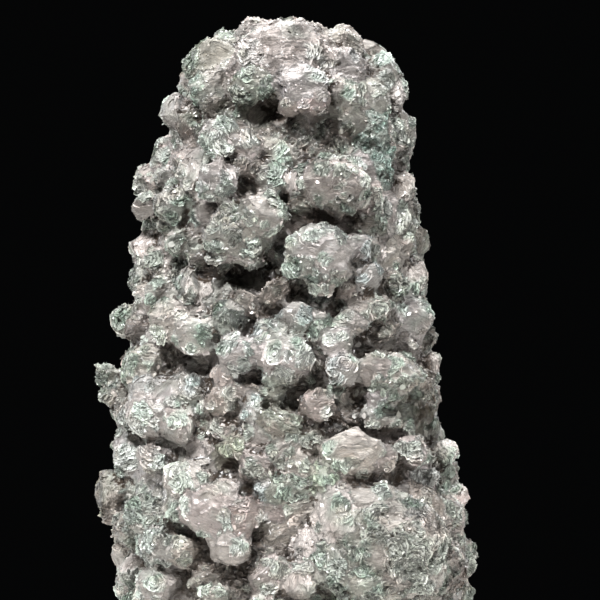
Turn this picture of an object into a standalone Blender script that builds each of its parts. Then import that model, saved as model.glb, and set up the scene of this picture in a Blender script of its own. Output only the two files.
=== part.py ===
"""Quartz floater: a tapering quartz column that grew free on every side, wrapped in rounded clusters of mica.

One grown piece, so one solid: a rounded prism with a blunt crown, and over four hundred lumps fused to it.
Origin on the standing plane, midway across the width and the depth, +Z up, the show side facing -Y.
Run it with: blender --background --python part.py
"""

import math
import random

import bmesh
import bpy
from mathutils import Matrix, Vector

MM = 0.001

# --- driving dimensions, in millimetres ---
DEPTH_SHARE = 0.80  # the prism's depth as a share of its width
PRISM_POWER = 2.6  # 2 is an ellipse in plan, and more is squarer, like a rounded prism
# Height, left edge and right edge of the bare prism, as seen from the front.
PRISM_EDGES = (
    (-3.0, -26.0, 27.0),
    (2.5, -31.0, 33.0),
    (9.0, -36.5, 39.0),
    (22.0, -38.5, 42.0),
    (40.0, -39.5, 40.0),
    (60.0, -38.0, 35.0),
    (80.0, -35.5, 33.5),
    (100.0, -32.0, 31.0),
    (120.0, -30.0, 28.5),
    (135.0, -25.0, 27.0),
    (144.0, -21.0, 23.0),
    (150.0, -16.0, 18.0),
    (153.5, -10.0, 11.0),
    (155.5, -2.0, 4.0),
)

# --- how the mass is fused and faceted ---
VOXEL = 1.0
FACETS_KEPT = 0.052  # of the fused mass's own, which leaves about 9,500 triangles
BALL_FINENESS = 3
LOBES_FROM_RADIUS = 3.4  # a lump at least this wide breaks up into lobes
LOBE_COUNT = 5
SEED = 31

# Lumps of the show side. Each is x, height, half-width, half-height, how far its middle stands in front of the
# prism's face, and how far it leans, in degrees anticlockwise as seen from the front.
SHOW_SIDE = {
    "crown": (
        (-0.7, 148.2, 12.5, 10.5, -0.5, 0),
        (-2.5, 155, 6, 4.4, 0, 0),
        (-7, 154.8, 5, 5, 0, 0),
        (6, 153.2, 6.5, 4.4, 0, 0),
        (15, 152.6, 6.4, 4.6, 0, -10),
        (-13.5, 151.3, 5.5, 5.2, 0, 20),
        (-8.2, 141.7, 5.4, 4.6, 4.5, 0),
        (3.7, 141.2, 7.2, 5.4, 6, 0),
        (1.7, 136.4, 4, 3.2, 7.5, 0),
        (7.7, 137, 4.2, 3.6, 7, 0),
        (15, 145.7, 6, 6, 0.5, 0),
        (20.6, 149.8, 5, 4.4, 0, -20),
        (23.5, 145, 5, 5, 0, 0),
        (27.5, 140, 3.2, 4, -1, 0),
        (21.7, 138.7, 5, 5, 1, 0),
        (15.7, 138.5, 4.6, 4.2, 3, 0),
    ),
    "left_shoulder": (
        (-18.5, 147.3, 6.8, 6.4, 0, 25),
        (-22, 143, 4.5, 4.8, 0, 0),
        (-18.7, 141.2, 5.6, 5, 1, 0),
        (-27.5, 135.7, 3.4, 5, 0, 12),
        (-18.2, 137.3, 3.8, 2.4, 2, 12),
        (-23.7, 132.5, 3.6, 3, 0.5, 30),
    ),
    "under_the_crown": (
        (0, 130.7, 4, 3.4, -1, 0),
        (3.7, 127, 3.6, 2.6, -0.5, 0),
        (11.2, 129.5, 5, 3.8, 0, 0),
        (16, 133.5, 4.2, 3.6, 0, 0),
        (21, 131, 4.6, 5.6, 0.5, 0),
        (23.5, 122.5, 4, 5, 0, 0),
    ),
    "upper_left_balls": (
        (-15.7, 128.5, 5.8, 5.2, 7, 0),
        (-9.2, 126.7, 4, 3.6, 6, 0),
        (-9.2, 121.5, 3.6, 3.4, 4, 0),
        (-16.2, 117.6, 5.3, 5.2, 7, 0),
        (-27.5, 124.2, 6, 6, 1.5, 0),
        (-23, 119, 3.6, 5, 1, 0),
        (-33.5, 118.7, 4.4, 4.8, -0.5, 8),
        (-34.5, 112.3, 3.4, 3.4, -0.5, 0),
        (-27.5, 112, 5, 4.4, 3, 0),
        (-33.5, 106.7, 2.8, 2.4, 0, 0),
        (-26.2, 103.2, 4, 3.8, 3, 15),
        (-21.2, 99.2, 2.6, 2.6, 1, 0),
    ),
    "upper_middle": (
        (-10, 106.7, 9.2, 7.6, 2, 0),
        (-5.7, 109.7, 6.4, 5.4, 6, -15),
        (-14.2, 104.9, 6.2, 5.6, 5.5, 0),
        (-8.2, 103.2, 4.6, 4, 5, 0),
        (-15.7, 98.9, 3.8, 2.4, 7, 0),
        (-8.7, 98.9, 4.2, 2.4, 8, 8),
        (-2.5, 125, 4.6, 4, 1, -25),
        (-3.2, 118.7, 5, 4.4, 2, 20),
        (3.2, 116.2, 3.2, 4.2, 3, 0),
        (3.7, 111.7, 3.4, 2.6, 3, 0),
        (12.5, 117, 9.2, 7.4, 5, -20),
        (14.2, 114, 5, 4.2, 7.5, 0),
        (6.7, 119.2, 4.4, 3.8, 4, 0),
        (20.7, 112.5, 4, 5, 2, 20),
        (21.2, 108.2, 3.6, 2.8, 2, 0),
    ),
    "middle_ball": (
        (8.2, 100.7, 8.8, 6.8, 6.5, 0),
        (5, 98.2, 5.6, 5.4, 7, 0),
        (16.7, 101.7, 5, 4, 4.5, -5),
        (12.5, 96.2, 5, 4, 6, 0),
        (20.7, 95, 4, 3.4, 3, 15),
        (9.2, 91.4, 3.6, 2.4, 7, 0),
        (15.5, 91.2, 3, 2.6, 2, 0),
        (-1.7, 90.7, 5, 2.8, 2.5, 40),
        (-3.7, 94.5, 2.4, 2.4, 1, 0),
    ),
    "left_edge": (
        (-35, 101.2, 3.6, 4.6, -0.5, 0),
        (-35.7, 93.4, 4, 4.4, -0.5, 0),
        (-31.2, 90.7, 3.8, 3.4, 1, -15),
        (-23.7, 92.5, 2.8, 4.4, 3, 12),
        (-39.6, 83.6, 3.4, 5, -1, -32),
        (-36, 81.2, 4, 4, 0, 0),
        (-28.2, 83.7, 5.8, 5.6, 4, 0),
        (-22, 79.7, 5, 4.8, 5, 0),
        (-20, 77.4, 3.6, 2.2, 6, 15),
    ),
    "middle_band": (
        (-14.2, 84.2, 4.2, 4.4, 2, 0),
        (-14.2, 90, 3, 2.6, 1, 0),
        (-8.7, 87.5, 5, 2.4, 2, -50),
        (-4.2, 82.2, 3.8, 2.2, 3, 15),
        (3, 84.2, 4.8, 4.4, 3.5, 0),
        (-11.2, 75.7, 5.8, 5.2, 4.5, 0),
        (-5.7, 76.2, 4.6, 4, 4, 0),
        (0, 75, 7.4, 5.8, 5.5, 0),
        (-1.2, 70.7, 4.8, 2.6, 4.5, 0),
        (12.5, 78.2, 4.6, 4, 3, 0),
        (8.5, 82, 4.2, 4, 2.5, 0),
        (16.2, 82.5, 4.4, 4, 2.5, 0),
        (15, 87.5, 4, 2.8, 2, 0),
        (21.2, 86.7, 5.6, 4, 2, 15),
        (25, 81.2, 5, 2.4, 1, 30),
    ),
    "right_middle": (
        (26.7, 70, 8, 6, 4, 8),
        (21.7, 71.7, 4.6, 4.2, 5, 0),
        (14.2, 71.7, 4.6, 4, 4, 0),
        (31.7, 67.5, 4.4, 5, 2, 0),
        (22.5, 64.7, 3.6, 2.2, 4, 0),
        (20.7, 61.2, 3.6, 1.8, 3, 10),
        (27, 60, 5, 2.2, -0.5, 12),
        (33, 61, 3.8, 4.4, 0, 0),
    ),
    "centre": (
        (8.2, 63.2, 5.2, 4.4, 7, 0),
        (-4.2, 66.2, 5.4, 2.2, 2, -10),
        (3.7, 68.6, 4, 1.8, 1.5, 10),
        (-23.7, 67.2, 4.2, 3.8, 1.5, 0),
        (-29.2, 75.7, 2.6, 4, 0, -20),
        (-14.7, 70.7, 3.2, 4.4, 2, -20),
        (-15.7, 64.2, 4, 3, 2.5, 20),
        (-9.7, 66.7, 3, 3, 0, 0),
        (-8.7, 61.2, 3, 3.6, 3, 0),
        (-1.2, 58.7, 6, 4, 3.5, -15),
        (-5.7, 55.2, 3.4, 2.2, 3, 0),
        (6.7, 55, 3.6, 3.2, 2.5, 0),
        (-17.5, 57.5, 3.2, 3.4, 0.5, 0),
        (-13.2, 57.5, 3, 3, 1, 0),
        (-13.2, 52.5, 4, 3.6, 3, 0),
        (0, 52.5, 4.4, 3.4, 2.5, 20),
        (-7.5, 48.2, 4, 4, 2.5, -30),
        (3.7, 48.7, 4, 3, 2, 0),
        (0, 42.5, 5.4, 3.6, 2.5, 15),
        (8.7, 45, 3.6, 4, 3, 0),
        (-5, 42.5, 3.4, 3, 1.5, 0),
        (3.7, 38.7, 4.6, 3, 2, 0),
        (-3.7, 36.7, 5, 2.6, 1, 0),
    ),
    "left_bulge": (
        (-37.5, 73.7, 6, 3.2, 1, 18),
        (-43.5, 69.7, 4.2, 3.4, -1, 20),
        (-44, 64.7, 2.8, 2, -1, -20),
        (-33.7, 65.7, 7, 4.6, 3, 0),
        (-33.7, 60.7, 9, 6, 4, 0),
        (-26.2, 57.5, 4.4, 4.6, 4, 0),
        (-28.2, 65, 4, 5, 3, -30),
        (-40, 61.2, 3.6, 4, 1, 0),
        (-37.5, 51.2, 5.6, 6, 4, 0),
        (-32.5, 50, 4, 4, 3.5, 0),
        (-38.5, 47.4, 3.6, 3, 5.5, 0),
        (-43.7, 40.7, 3.6, 6.2, -1, 0),
        (-42.7, 35, 3, 3, -1, 0),
        (-41.2, 32, 2.6, 2.4, -1, 0),
    ),
    "left_slab": (
        (-23.7, 44.2, 6.6, 5.4, 4.5, -20),
        (-18.2, 37.5, 8, 6.4, 5.5, -35),
        (-13.7, 28.9, 6, 5.4, 5.5, 0),
        (-10.7, 35.7, 4.6, 4.6, 4.5, 0),
        (-14.2, 42.5, 3.6, 3.2, 3.5, 0),
        (-33.7, 35.7, 6.6, 5.6, 4, 0),
        (-30.7, 28.7, 6, 5, 5.5, 0),
        (-25, 27.5, 4.6, 4.4, 4, 0),
        (-25.7, 37.3, 4, 4, 3.5, 0),
    ),
    "low_left": (
        (-39, 24.7, 3.8, 4.8, 0.5, 0),
        (-39.5, 17.5, 3.4, 3.8, 0, 0),
        (-31.2, 18.5, 6.2, 5.4, 4, 0),
        (-20, 21, 5, 2.8, 2, 15),
        (-17.5, 16.2, 4.6, 3.2, 2.5, 0),
        (-37, 10, 4.6, 4.6, 1, 0),
        (-25, 9, 5.6, 4.8, 3, 0),
    ),
    "low_middle": (
        (0, 31.9, 6.4, 3.4, 1, 0),
        (-3.2, 28, 5, 2.4, 1.5, 0),
        (5, 28.7, 3.4, 4.6, 2.5, 0),
        (-4.2, 21.7, 5.8, 4.4, 3, 20),
        (3.7, 20, 4.6, 5.6, 2.5, 0),
        (-5, 14.5, 4.6, 4, 3, 0),
        (-12, 7, 5, 4.4, 2.5, 0),
        (0, 8, 5.4, 4.6, 3, 0),
    ),
    "right_balls": (
        (16.7, 51.7, 8.2, 5.8, 5.5, 0),
        (23.7, 50, 4, 4, 6, 0),
        (30.7, 51.2, 4.5, 4.8, 5, 0),
        (36, 53.2, 2.6, 2.4, 1.5, 0),
        (23.7, 58.8, 5.4, 2, 2.5, 8),
        (21.2, 45.2, 5, 1.8, 3.5, 0),
    ),
    "great_boss": (
        (25, 27.5, 15, 14.5, 1.5, 0),
        (13.2, 35.5, 6, 7.5, 4.5, 0),
        (22, 39.2, 9, 4.6, 5, 0),
        (34.5, 38.5, 4.4, 4.4, 1.5, 0),
        (12.5, 23.7, 4.8, 8, 4, 12),
        (22.5, 29.5, 7, 6, 6.5, 0),
        (31.2, 32.7, 5.4, 5.4, 5, 0),
        (22.5, 20, 8, 7, 6.5, 0),
        (33.2, 23.7, 6, 6.6, 4, 0),
        (14, 10, 6.2, 5.2, 3.5, 0),
        (27, 9, 6.6, 5, 3.5, 0),
        (37, 11, 4.6, 5, 1, 0),
    ),
    "right_edge": (
        (29.3, 130.5, 4, 5.6, -1, 0),
        (27, 123, 3.4, 4.2, -1, 0),
        (28.5, 116, 3.8, 4.6, -1, 0),
        (30.5, 110.5, 3.2, 3.4, -1, 0),
        (29, 104, 5, 5.6, 0, 0),
        (33, 103.5, 2.8, 4.6, -1, 0),
        (32, 94.5, 3.8, 4.6, -1, 0),
        (27, 92.5, 3.8, 3.8, 0.5, 0),
        (33, 86, 3.4, 4.4, -1, 0),
        (34.5, 79, 3.6, 3.6, -1, 0),
        (36.5, 73, 2.8, 3.6, -1, 0),
        (36, 65, 2.8, 5, -1, 0),
        (36, 57.5, 2.8, 3, -1, 0),
        (39.5, 51, 3, 3.6, -1, 0),
        (40, 45.5, 3.6, 3.6, -1, 0),
        (42.5, 39.5, 3.2, 3.8, -1, 0),
        (43, 34, 3, 3, -1, 0),
        (44.5, 24, 4.2, 5.2, -1, 0),
        (42.5, 28, 2.6, 4, 1, 12),
        (43.5, 15.5, 3.4, 4, -1, 0),
    ),
}

# Lumps that fill the sides, the back and the gaps: each pass throws so many darts for lumps of that radius.
DART_PASSES = ((9.5, 40), (7.4, 120), (5.8, 300), (4.6, 700), (3.4, 1400))
DART_GAP = 0.74  # the least distance between two lumps, as a share of their radii together
LARGEST_ON_SHOW_SIDE = 3.4
SHOW_SIDE_SINK = 0.45  # how much deeper darts lie there, as a share of their radius
HIGHEST_DART = 150.0
EDGE_ROOM = 3.6  # the most that a dart's lump reaches past the prism's edge, as seen from the front
FOOT_RINGS = ((29, 15), (35, 17))  # ring radius and number of lumps round the standing face
FOOT_RADIUS = 5.4
FOOT_HEIGHT = 4.7  # of the middle of those lumps, which the standing plane cuts flat

# Hollows of the show side: x, height, half-width, half-height and depth of each.
HOLLOWS = {
    "under_the_brow": (-3.5, 135.5, 5, 4.5, 6),
    "under_the_brow_right": (9, 128.5, 8, 3, 4),
    "under_the_upper_mass": (-10, 95.5, 9.5, 5, 7),
    "left_of_it": (-28.5, 95.5, 4.5, 5, 4),
    "under_the_middle_ball": (13, 88.5, 5, 3, 4),
    "left_band": (-25, 73, 8, 5, 5),
    "left_notch": (-34, 79, 4, 4, 3),
    "centre_left": (-15, 59, 4, 5, 4),
    "centre": (10, 60, 7, 3.5, 4),
    "over_the_left_slab": (-37.5, 44, 5, 2.6, 4),
    "over_the_boss": (25, 45, 9, 2.2, 3.5),
    "beside_the_boss": (6.5, 35, 3, 4, 3),
    "low_cleft": (-9, 24, 4, 5, 3),
}
EDGE_FROM = 0.93  # a lump further across than this share of the half-width lies on the prism's edge
EDGE_SCATTER = (-3.0, 17.0)  # how far back lumps on the edge lie


def edges_at(height):
    """The prism's middle and half-width at a height."""
    low = PRISM_EDGES[0]
    for high in PRISM_EDGES[1:]:
        if height <= high[0]:
            break
        low = high
    share = (height - low[0]) / max(high[0] - low[0], 1e-6)
    share = min(max(share, 0.0), 1.0)
    left = low[1] + (high[1] - low[1]) * share
    right = low[2] + (high[2] - low[2]) * share
    return (left + right) / 2, (right - left) / 2


def on_prism(angle, height):
    """The point of the prism at this angle, 0 at +X and anticlockwise from above, and its outward normal."""
    middle, half_width = edges_at(height)
    half_depth = half_width * DEPTH_SHARE
    c, s = math.cos(angle), math.sin(angle)
    reach = (abs(c) ** PRISM_POWER + abs(s) ** PRISM_POWER) ** (-1 / PRISM_POWER)
    x, y = half_width * reach * c, half_depth * reach * s
    steep = PRISM_POWER - 1
    normal = Vector(
        (
            math.copysign(abs(reach * c) ** steep, c) / half_width,
            math.copysign(abs(reach * s) ** steep, s) / half_depth,
            0,
        )
    ).normalized()
    return Vector((middle + x, y, height)), normal


def sunk_at(x, height):
    """How deep the show side is hollowed at a place."""
    total = 0.0
    for middle_x, middle_height, wide, high, deep in HOLLOWS.values():
        away = ((x - middle_x) / wide) ** 2 + ((height - middle_height) / high) ** 2
        total += deep * math.exp(-away)
    return total


def on_show_side(x, height):
    """The point of the show side at this x, and the prism's outward normal there."""
    middle, half_width = edges_at(height)
    across = min(max((x - middle) / half_width, -0.97), 0.97)
    deep = (1 - abs(across) ** PRISM_POWER) ** (1 / PRISM_POWER)
    point, normal = on_prism(math.atan2(-deep, across), height)
    return Vector((x, point.y + sunk_at(x, height), height)), normal


def turned_to(normal, lean):
    """Axes for a lump: across, up and out along the normal, leaning about it."""
    out = normal.normalized()
    across = Vector((0, 0, 1)).cross(out)
    across = across.normalized() if across.length > 1e-3 else Vector((1, 0, 0))
    up = out.cross(across)
    axes = Matrix((across, up, out)).transposed()
    return axes @ Matrix.Rotation(math.radians(lean), 3, "Z")


def show_side_lumps():
    """(middle, radii, axes) of each lump that SHOW_SIDE states."""
    rng = random.Random(SEED)
    lumps = []
    for rows in SHOW_SIDE.values():
        for x, height, wide, high, proud, lean in rows:
            point, normal = on_show_side(x, height)
            middle = point - Vector((0, proud, 0))
            if not is_inside_the_edges(x, height):
                middle.y += rng.uniform(*EDGE_SCATTER)
            radii = Vector((wide, high, 0.9 * min(wide, high) + 0.1 * max(wide, high)))
            lumps.append((middle, radii, turned_to(normal, lean)))
    return lumps


def is_inside_the_edges(x, height):
    middle, half_width = edges_at(height)
    return abs(x - middle) < EDGE_FROM * half_width


def is_show_side(point):
    return point.y < 0 and is_inside_the_edges(point.x, point.z)


def within_the_edges(point, size):
    """The x that keeps a lump of this size within the outline seen from the front."""
    middle, half_width = edges_at(point.z)
    room = half_width + EDGE_ROOM - size
    return min(max(point.x, middle - room), middle + room)


def dart_lumps(taken, rng):
    """More lumps all round the prism, thrown at random, large ones first, and kept where they have room."""
    made = []
    for radius, darts in DART_PASSES:
        for _ in range(darts):
            height = rng.uniform(6, HIGHEST_DART)
            point, normal = on_prism(rng.uniform(-math.pi, math.pi), height)
            size = radius * rng.uniform(0.85, 1.15)
            if is_show_side(point):
                if size > LARGEST_ON_SHOW_SIDE:
                    continue
                point.y += sunk_at(point.x, height)
            if height > 146:
                normal = (normal + Vector((0, 0, (height - 146) / 5))).normalized()
            around = taken + made
            if any((point - m).length < DART_GAP * (size + sum(r) / 3) for m, r, _ in around):
                continue
            sink = SHOW_SIDE_SINK if is_show_side(point) else 0
            middle = point + normal * (rng.uniform(-0.15, 0.45) - sink) * size
            wide, high, deep = rng.uniform(0.85, 1.4), rng.uniform(0.8, 1.1), rng.uniform(0.85, 1)
            radii = Vector((wide, high, deep)) * size
            axes = turned_to(normal, rng.uniform(-40, 40))
            middle.x = within_the_edges(middle, Vector(r * a for r, a in zip(radii, axes[0])).length)
            made.append((middle, radii, axes))
    return made


def foot_lumps(rng):
    """Lumps under the prism, all at one height, so that they share the standing plane."""
    middle, _ = edges_at(FOOT_HEIGHT)
    made = []
    for ring, count in FOOT_RINGS:
        for k in range(count):
            angle = 2 * math.pi * (k + rng.uniform(-0.2, 0.2)) / count
            x = middle + ring * math.cos(angle)
            y = ring * math.sin(angle) * DEPTH_SHARE
            radius = FOOT_RADIUS * rng.uniform(0.85, 1.1)
            height = FOOT_HEIGHT + rng.uniform(-0.4, 0.6)
            axes = turned_to(Vector((0.01, 0, -1)), 0)
            made.append((Vector((x, y, height)), Vector((radius, radius, radius)), axes))
    return made


def lobed(lump, rng):
    """The lump, and the lobes that break up its outer side if it is large enough."""
    middle, radii, axes = lump
    parts = [lump]
    if min(radii) < LOBES_FROM_RADIUS:
        return parts
    for _ in range(LOBE_COUNT):
        turn, tip = rng.uniform(0, 2 * math.pi), rng.uniform(0.15, 1.35)
        way = Vector((math.sin(tip) * math.cos(turn), math.sin(tip) * math.sin(turn), math.cos(tip)))
        offset = axes @ Vector(w * r for w, r in zip(way, radii)) * rng.uniform(0.5, 0.62)
        share = rng.uniform(0.44, 0.56)
        parts.append((middle + offset, radii * share, axes))
    return parts


def unit_ball():
    """The points and faces of a ball of radius 1."""
    shape = bmesh.new()
    bmesh.ops.create_icosphere(shape, subdivisions=BALL_FINENESS, radius=1)
    points = [v.co.copy() for v in shape.verts]
    faces = [tuple(v.index for v in f.verts) for f in shape.faces]
    shape.free()
    return points, faces


def bare_prism():
    """The points and faces of the bare prism: a ball's rings and spokes, moved out to the prism's faces."""
    shape = bmesh.new()
    bmesh.ops.create_uvsphere(shape, u_segments=64, v_segments=48, radius=1)
    bottom, top = PRISM_EDGES[0][0], PRISM_EDGES[-1][0]
    points = []
    for vertex in shape.verts:
        share = math.acos(max(-1.0, min(1.0, -vertex.co.z))) / math.pi
        height = bottom + (top - bottom) * share
        if share < 1e-3 or share > 1 - 1e-3:
            points.append(Vector((edges_at(height)[0], 0, height)))
        else:
            point = on_prism(math.atan2(vertex.co.y, vertex.co.x), height)[0]
            if is_show_side(point):
                point.y += sunk_at(point.x, height)
            points.append(point)
    faces = [tuple(v.index for v in f.verts) for f in shape.faces]
    shape.free()
    return points, faces


def heap_of(lumps):
    """One mesh holding the bare prism and every lump, still overlapping."""
    points, faces = bare_prism()
    ball_points, ball_faces = unit_ball()
    for middle, radii, axes in lumps:
        first = len(points)
        place = Matrix.Translation(middle) @ axes.to_4x4() @ Matrix.Diagonal((*radii, 1))
        points += [place @ p for p in ball_points]
        faces += [tuple(first + i for i in f) for f in ball_faces]
    mesh = bpy.data.meshes.new("heap")
    mesh.from_pydata([p * MM for p in points], [], faces)
    return mesh


def object_of(name, mesh, collection):
    obj = bpy.data.objects.new(name, mesh)
    collection.objects.link(obj)
    return obj


def mica_material():
    """Silvery mauve mica, the colour of the whole mass."""
    material = bpy.data.materials.new("mica_crust")
    material.use_nodes = True
    shader = material.node_tree.nodes["Principled BSDF"]
    shader.inputs["Base Color"].default_value = (0.42, 0.40, 0.37, 1)
    shader.inputs["Roughness"].default_value = 0.5
    shader.inputs["Metallic"].default_value = 0.0
    return material


def under_the_floor(collection):
    """The cutter below the standing plane."""
    shape = bmesh.new()
    bmesh.ops.create_cube(shape, size=0.2, matrix=Matrix.Translation((0, 0, -0.1)))
    mesh = bpy.data.meshes.new("floor_cutter")
    shape.to_mesh(mesh)
    shape.free()
    cutter = object_of("floor_cutter", mesh, collection)
    cutter.hide_render = True
    cutter.display_type = "WIRE"
    return cutter


def largest_island(mesh):
    """Deletes all but the largest of the mesh's separate surfaces, such as the skin of a void shut inside it."""
    shape = bmesh.new()
    shape.from_mesh(mesh)
    islands, seen = [], set()
    for start in shape.verts:
        if start in seen:
            continue
        island, edge_of_it = {start}, [start]
        while edge_of_it:
            for link in edge_of_it.pop().link_edges:
                for vertex in link.verts:
                    if vertex not in island:
                        island.add(vertex)
                        edge_of_it.append(vertex)
        seen |= island
        islands.append(island)
    keep = max(islands, key=len)
    bmesh.ops.delete(shape, geom=[v for v in shape.verts if v not in keep], context="VERTS")
    shape.to_mesh(mesh)
    shape.free()


def centre_over_origin(mesh):
    """Moves the mesh sideways until its overall width and depth lie evenly about the origin."""
    for axis in (0, 1):
        along = [v.co[axis] for v in mesh.vertices]
        middle = (min(along) + max(along)) / 2
        for vertex in mesh.vertices:
            vertex.co[axis] -= middle


def evaluated_mesh(obj):
    graph = bpy.context.evaluated_depsgraph_get()
    return bpy.data.meshes.new_from_object(obj.evaluated_get(graph))


def build_floater(collection, cutters):
    """The whole specimen as one closed solid."""
    rng = random.Random(SEED)
    lumps = show_side_lumps()
    lumps += dart_lumps(lumps, rng)
    lumps += foot_lumps(rng)
    lobes = [part for lump in lumps for part in lobed(lump, rng)]
    floater = object_of("quartz_floater", heap_of(lobes), collection)

    fuse = floater.modifiers.new("fuse", "REMESH")
    fuse.mode = "VOXEL"
    fuse.voxel_size = VOXEL * MM
    floater.data = evaluated_mesh(floater)
    floater.modifiers.clear()
    largest_island(floater.data)

    facet = floater.modifiers.new("facet", "DECIMATE")
    facet.ratio = FACETS_KEPT
    facet.use_collapse_triangulate = True
    stand = floater.modifiers.new("stand", "BOOLEAN")
    stand.operation = "DIFFERENCE"
    stand.object = under_the_floor(cutters)
    floater.data = evaluated_mesh(floater)
    floater.modifiers.clear()
    centre_over_origin(floater.data)
    floater.data.materials.append(mica_material())
    return floater


def new_collection(name):
    collection = bpy.data.collections.new(name)
    bpy.context.scene.collection.children.link(collection)
    return collection


def main():
    for obj in list(bpy.data.objects):
        bpy.data.objects.remove(obj)
    build_floater(new_collection("quartz_floater"), new_collection("cutters"))


main()
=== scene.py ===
"""Looks of the quartz floater.

A crust of fused lumps takes the solid's place: a satiny rind with rosettes of mica plates on it, the rims of
plates that stand out of it, and a few loose plates and grains.
"""

import math
import random
from collections import namedtuple

import bmesh
import bpy
import numpy as np
from mathutils import Matrix, Vector, noise
from mathutils.bvhtree import BVHTree
from mathutils.kdtree import KDTree


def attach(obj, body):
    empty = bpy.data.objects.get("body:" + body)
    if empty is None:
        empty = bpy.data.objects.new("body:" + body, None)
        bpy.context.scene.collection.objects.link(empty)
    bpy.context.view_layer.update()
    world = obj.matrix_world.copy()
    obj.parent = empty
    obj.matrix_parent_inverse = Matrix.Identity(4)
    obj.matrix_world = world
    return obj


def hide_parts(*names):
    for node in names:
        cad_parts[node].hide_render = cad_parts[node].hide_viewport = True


MM = 0.001

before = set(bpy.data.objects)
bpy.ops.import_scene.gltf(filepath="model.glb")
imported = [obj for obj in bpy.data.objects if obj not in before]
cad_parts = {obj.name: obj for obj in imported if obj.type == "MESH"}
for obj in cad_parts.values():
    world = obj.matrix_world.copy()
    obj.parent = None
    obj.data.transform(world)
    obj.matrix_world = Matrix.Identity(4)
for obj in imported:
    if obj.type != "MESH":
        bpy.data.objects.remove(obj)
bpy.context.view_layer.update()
NODE = "quartz_floater"
BODY = "root"

# --- the prism and its lumps, in millimetres, as in the solid ---
DEPTH_SHARE = 0.80  # the prism's depth as a share of its width
PRISM_POWER = 2.6  # 2 is an ellipse in plan, and more is squarer, like a rounded prism
SEED = 31
PRISM_EDGES = (  # height, left and right of each of its levels
    (-3.0, -26.0, 27.0), (2.5, -31.0, 33.0), (9.0, -36.5, 39.0), (22.0, -38.5, 42.0),
    (40.0, -39.5, 40.0), (60.0, -38.0, 35.0), (80.0, -35.5, 33.5), (100.0, -32.0, 31.0),
    (120.0, -30.0, 28.5), (135.0, -25.0, 27.0), (144.0, -21.0, 23.0), (150.0, -16.0, 18.0),
    (153.5, -10.0, 11.0), (155.5, -2.0, 4.0),
)
LOBES_FROM_RADIUS = 3.4  # a lump at least this wide breaks up into lobes
LOBE_COUNT = 5
LOBE_OUT = (0.5, 0.62)  # how far out a lobe's middle lies, as a share of the lump's radii
LOBE_SIZE = (0.44, 0.56)  # and how large it is
# Darts are lumps thrown at random.
DART_PASSES = ((9.5, 40), (7.4, 120), (5.8, 300), (4.6, 700), (3.4, 1400))  # radius, and how many are thrown
DART_GAP = 0.74  # the least distance between two lumps, as a share of their radii together
LARGEST_ON_SHOW_SIDE = 3.4  # the radius of the largest dart among the lumps stated there
SHOW_SIDE_SINK = 0.45  # how much deeper a dart sits there, as a share of its radius
HIGHEST_DART = 150.0
UPWARD_FROM = 146  # darts above this lean upwards
EDGE_ROOM = 3.6  # how far a dart may stand out past the prism, seen from the front
FOOT_RINGS = ((29, 15), (35, 17))  # radius, and how many lumps stand round it
FOOT_RADIUS = 5.4
FOOT_HEIGHT = 4.7

# Hollows of the show side: x, height, half-width, half-height and depth of each.
HOLLOWS = {
    "under_the_brow": (-3.5, 135.5, 5, 4.5, 6),
    "under_the_brow_right": (9, 128.5, 8, 3, 4),
    "under_the_upper_mass": (-10, 95.5, 9.5, 5, 7),
    "left_of_it": (-28.5, 95.5, 4.5, 5, 4),
    "under_the_middle_ball": (13, 88.5, 5, 3, 4),
    "left_band": (-25, 73, 8, 5, 5),
    "left_notch": (-34, 79, 4, 4, 3),
    "centre_left": (-15, 59, 4, 5, 4),
    "centre": (10, 60, 7, 3.5, 4),
    "over_the_left_slab": (-37.5, 44, 5, 2.6, 4),
    "over_the_boss": (25, 45, 9, 2.2, 3.5),
    "beside_the_boss": (6.5, 35, 3, 4, 3),
    "low_cleft": (-9, 24, 4, 5, 3),
}
EDGE_FROM = 0.93  # a lump further across than this share of the half-width lies on the prism's edge
EDGE_SCATTER = (-3.0, 17.0)  # how far back lumps on the edge lie

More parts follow.
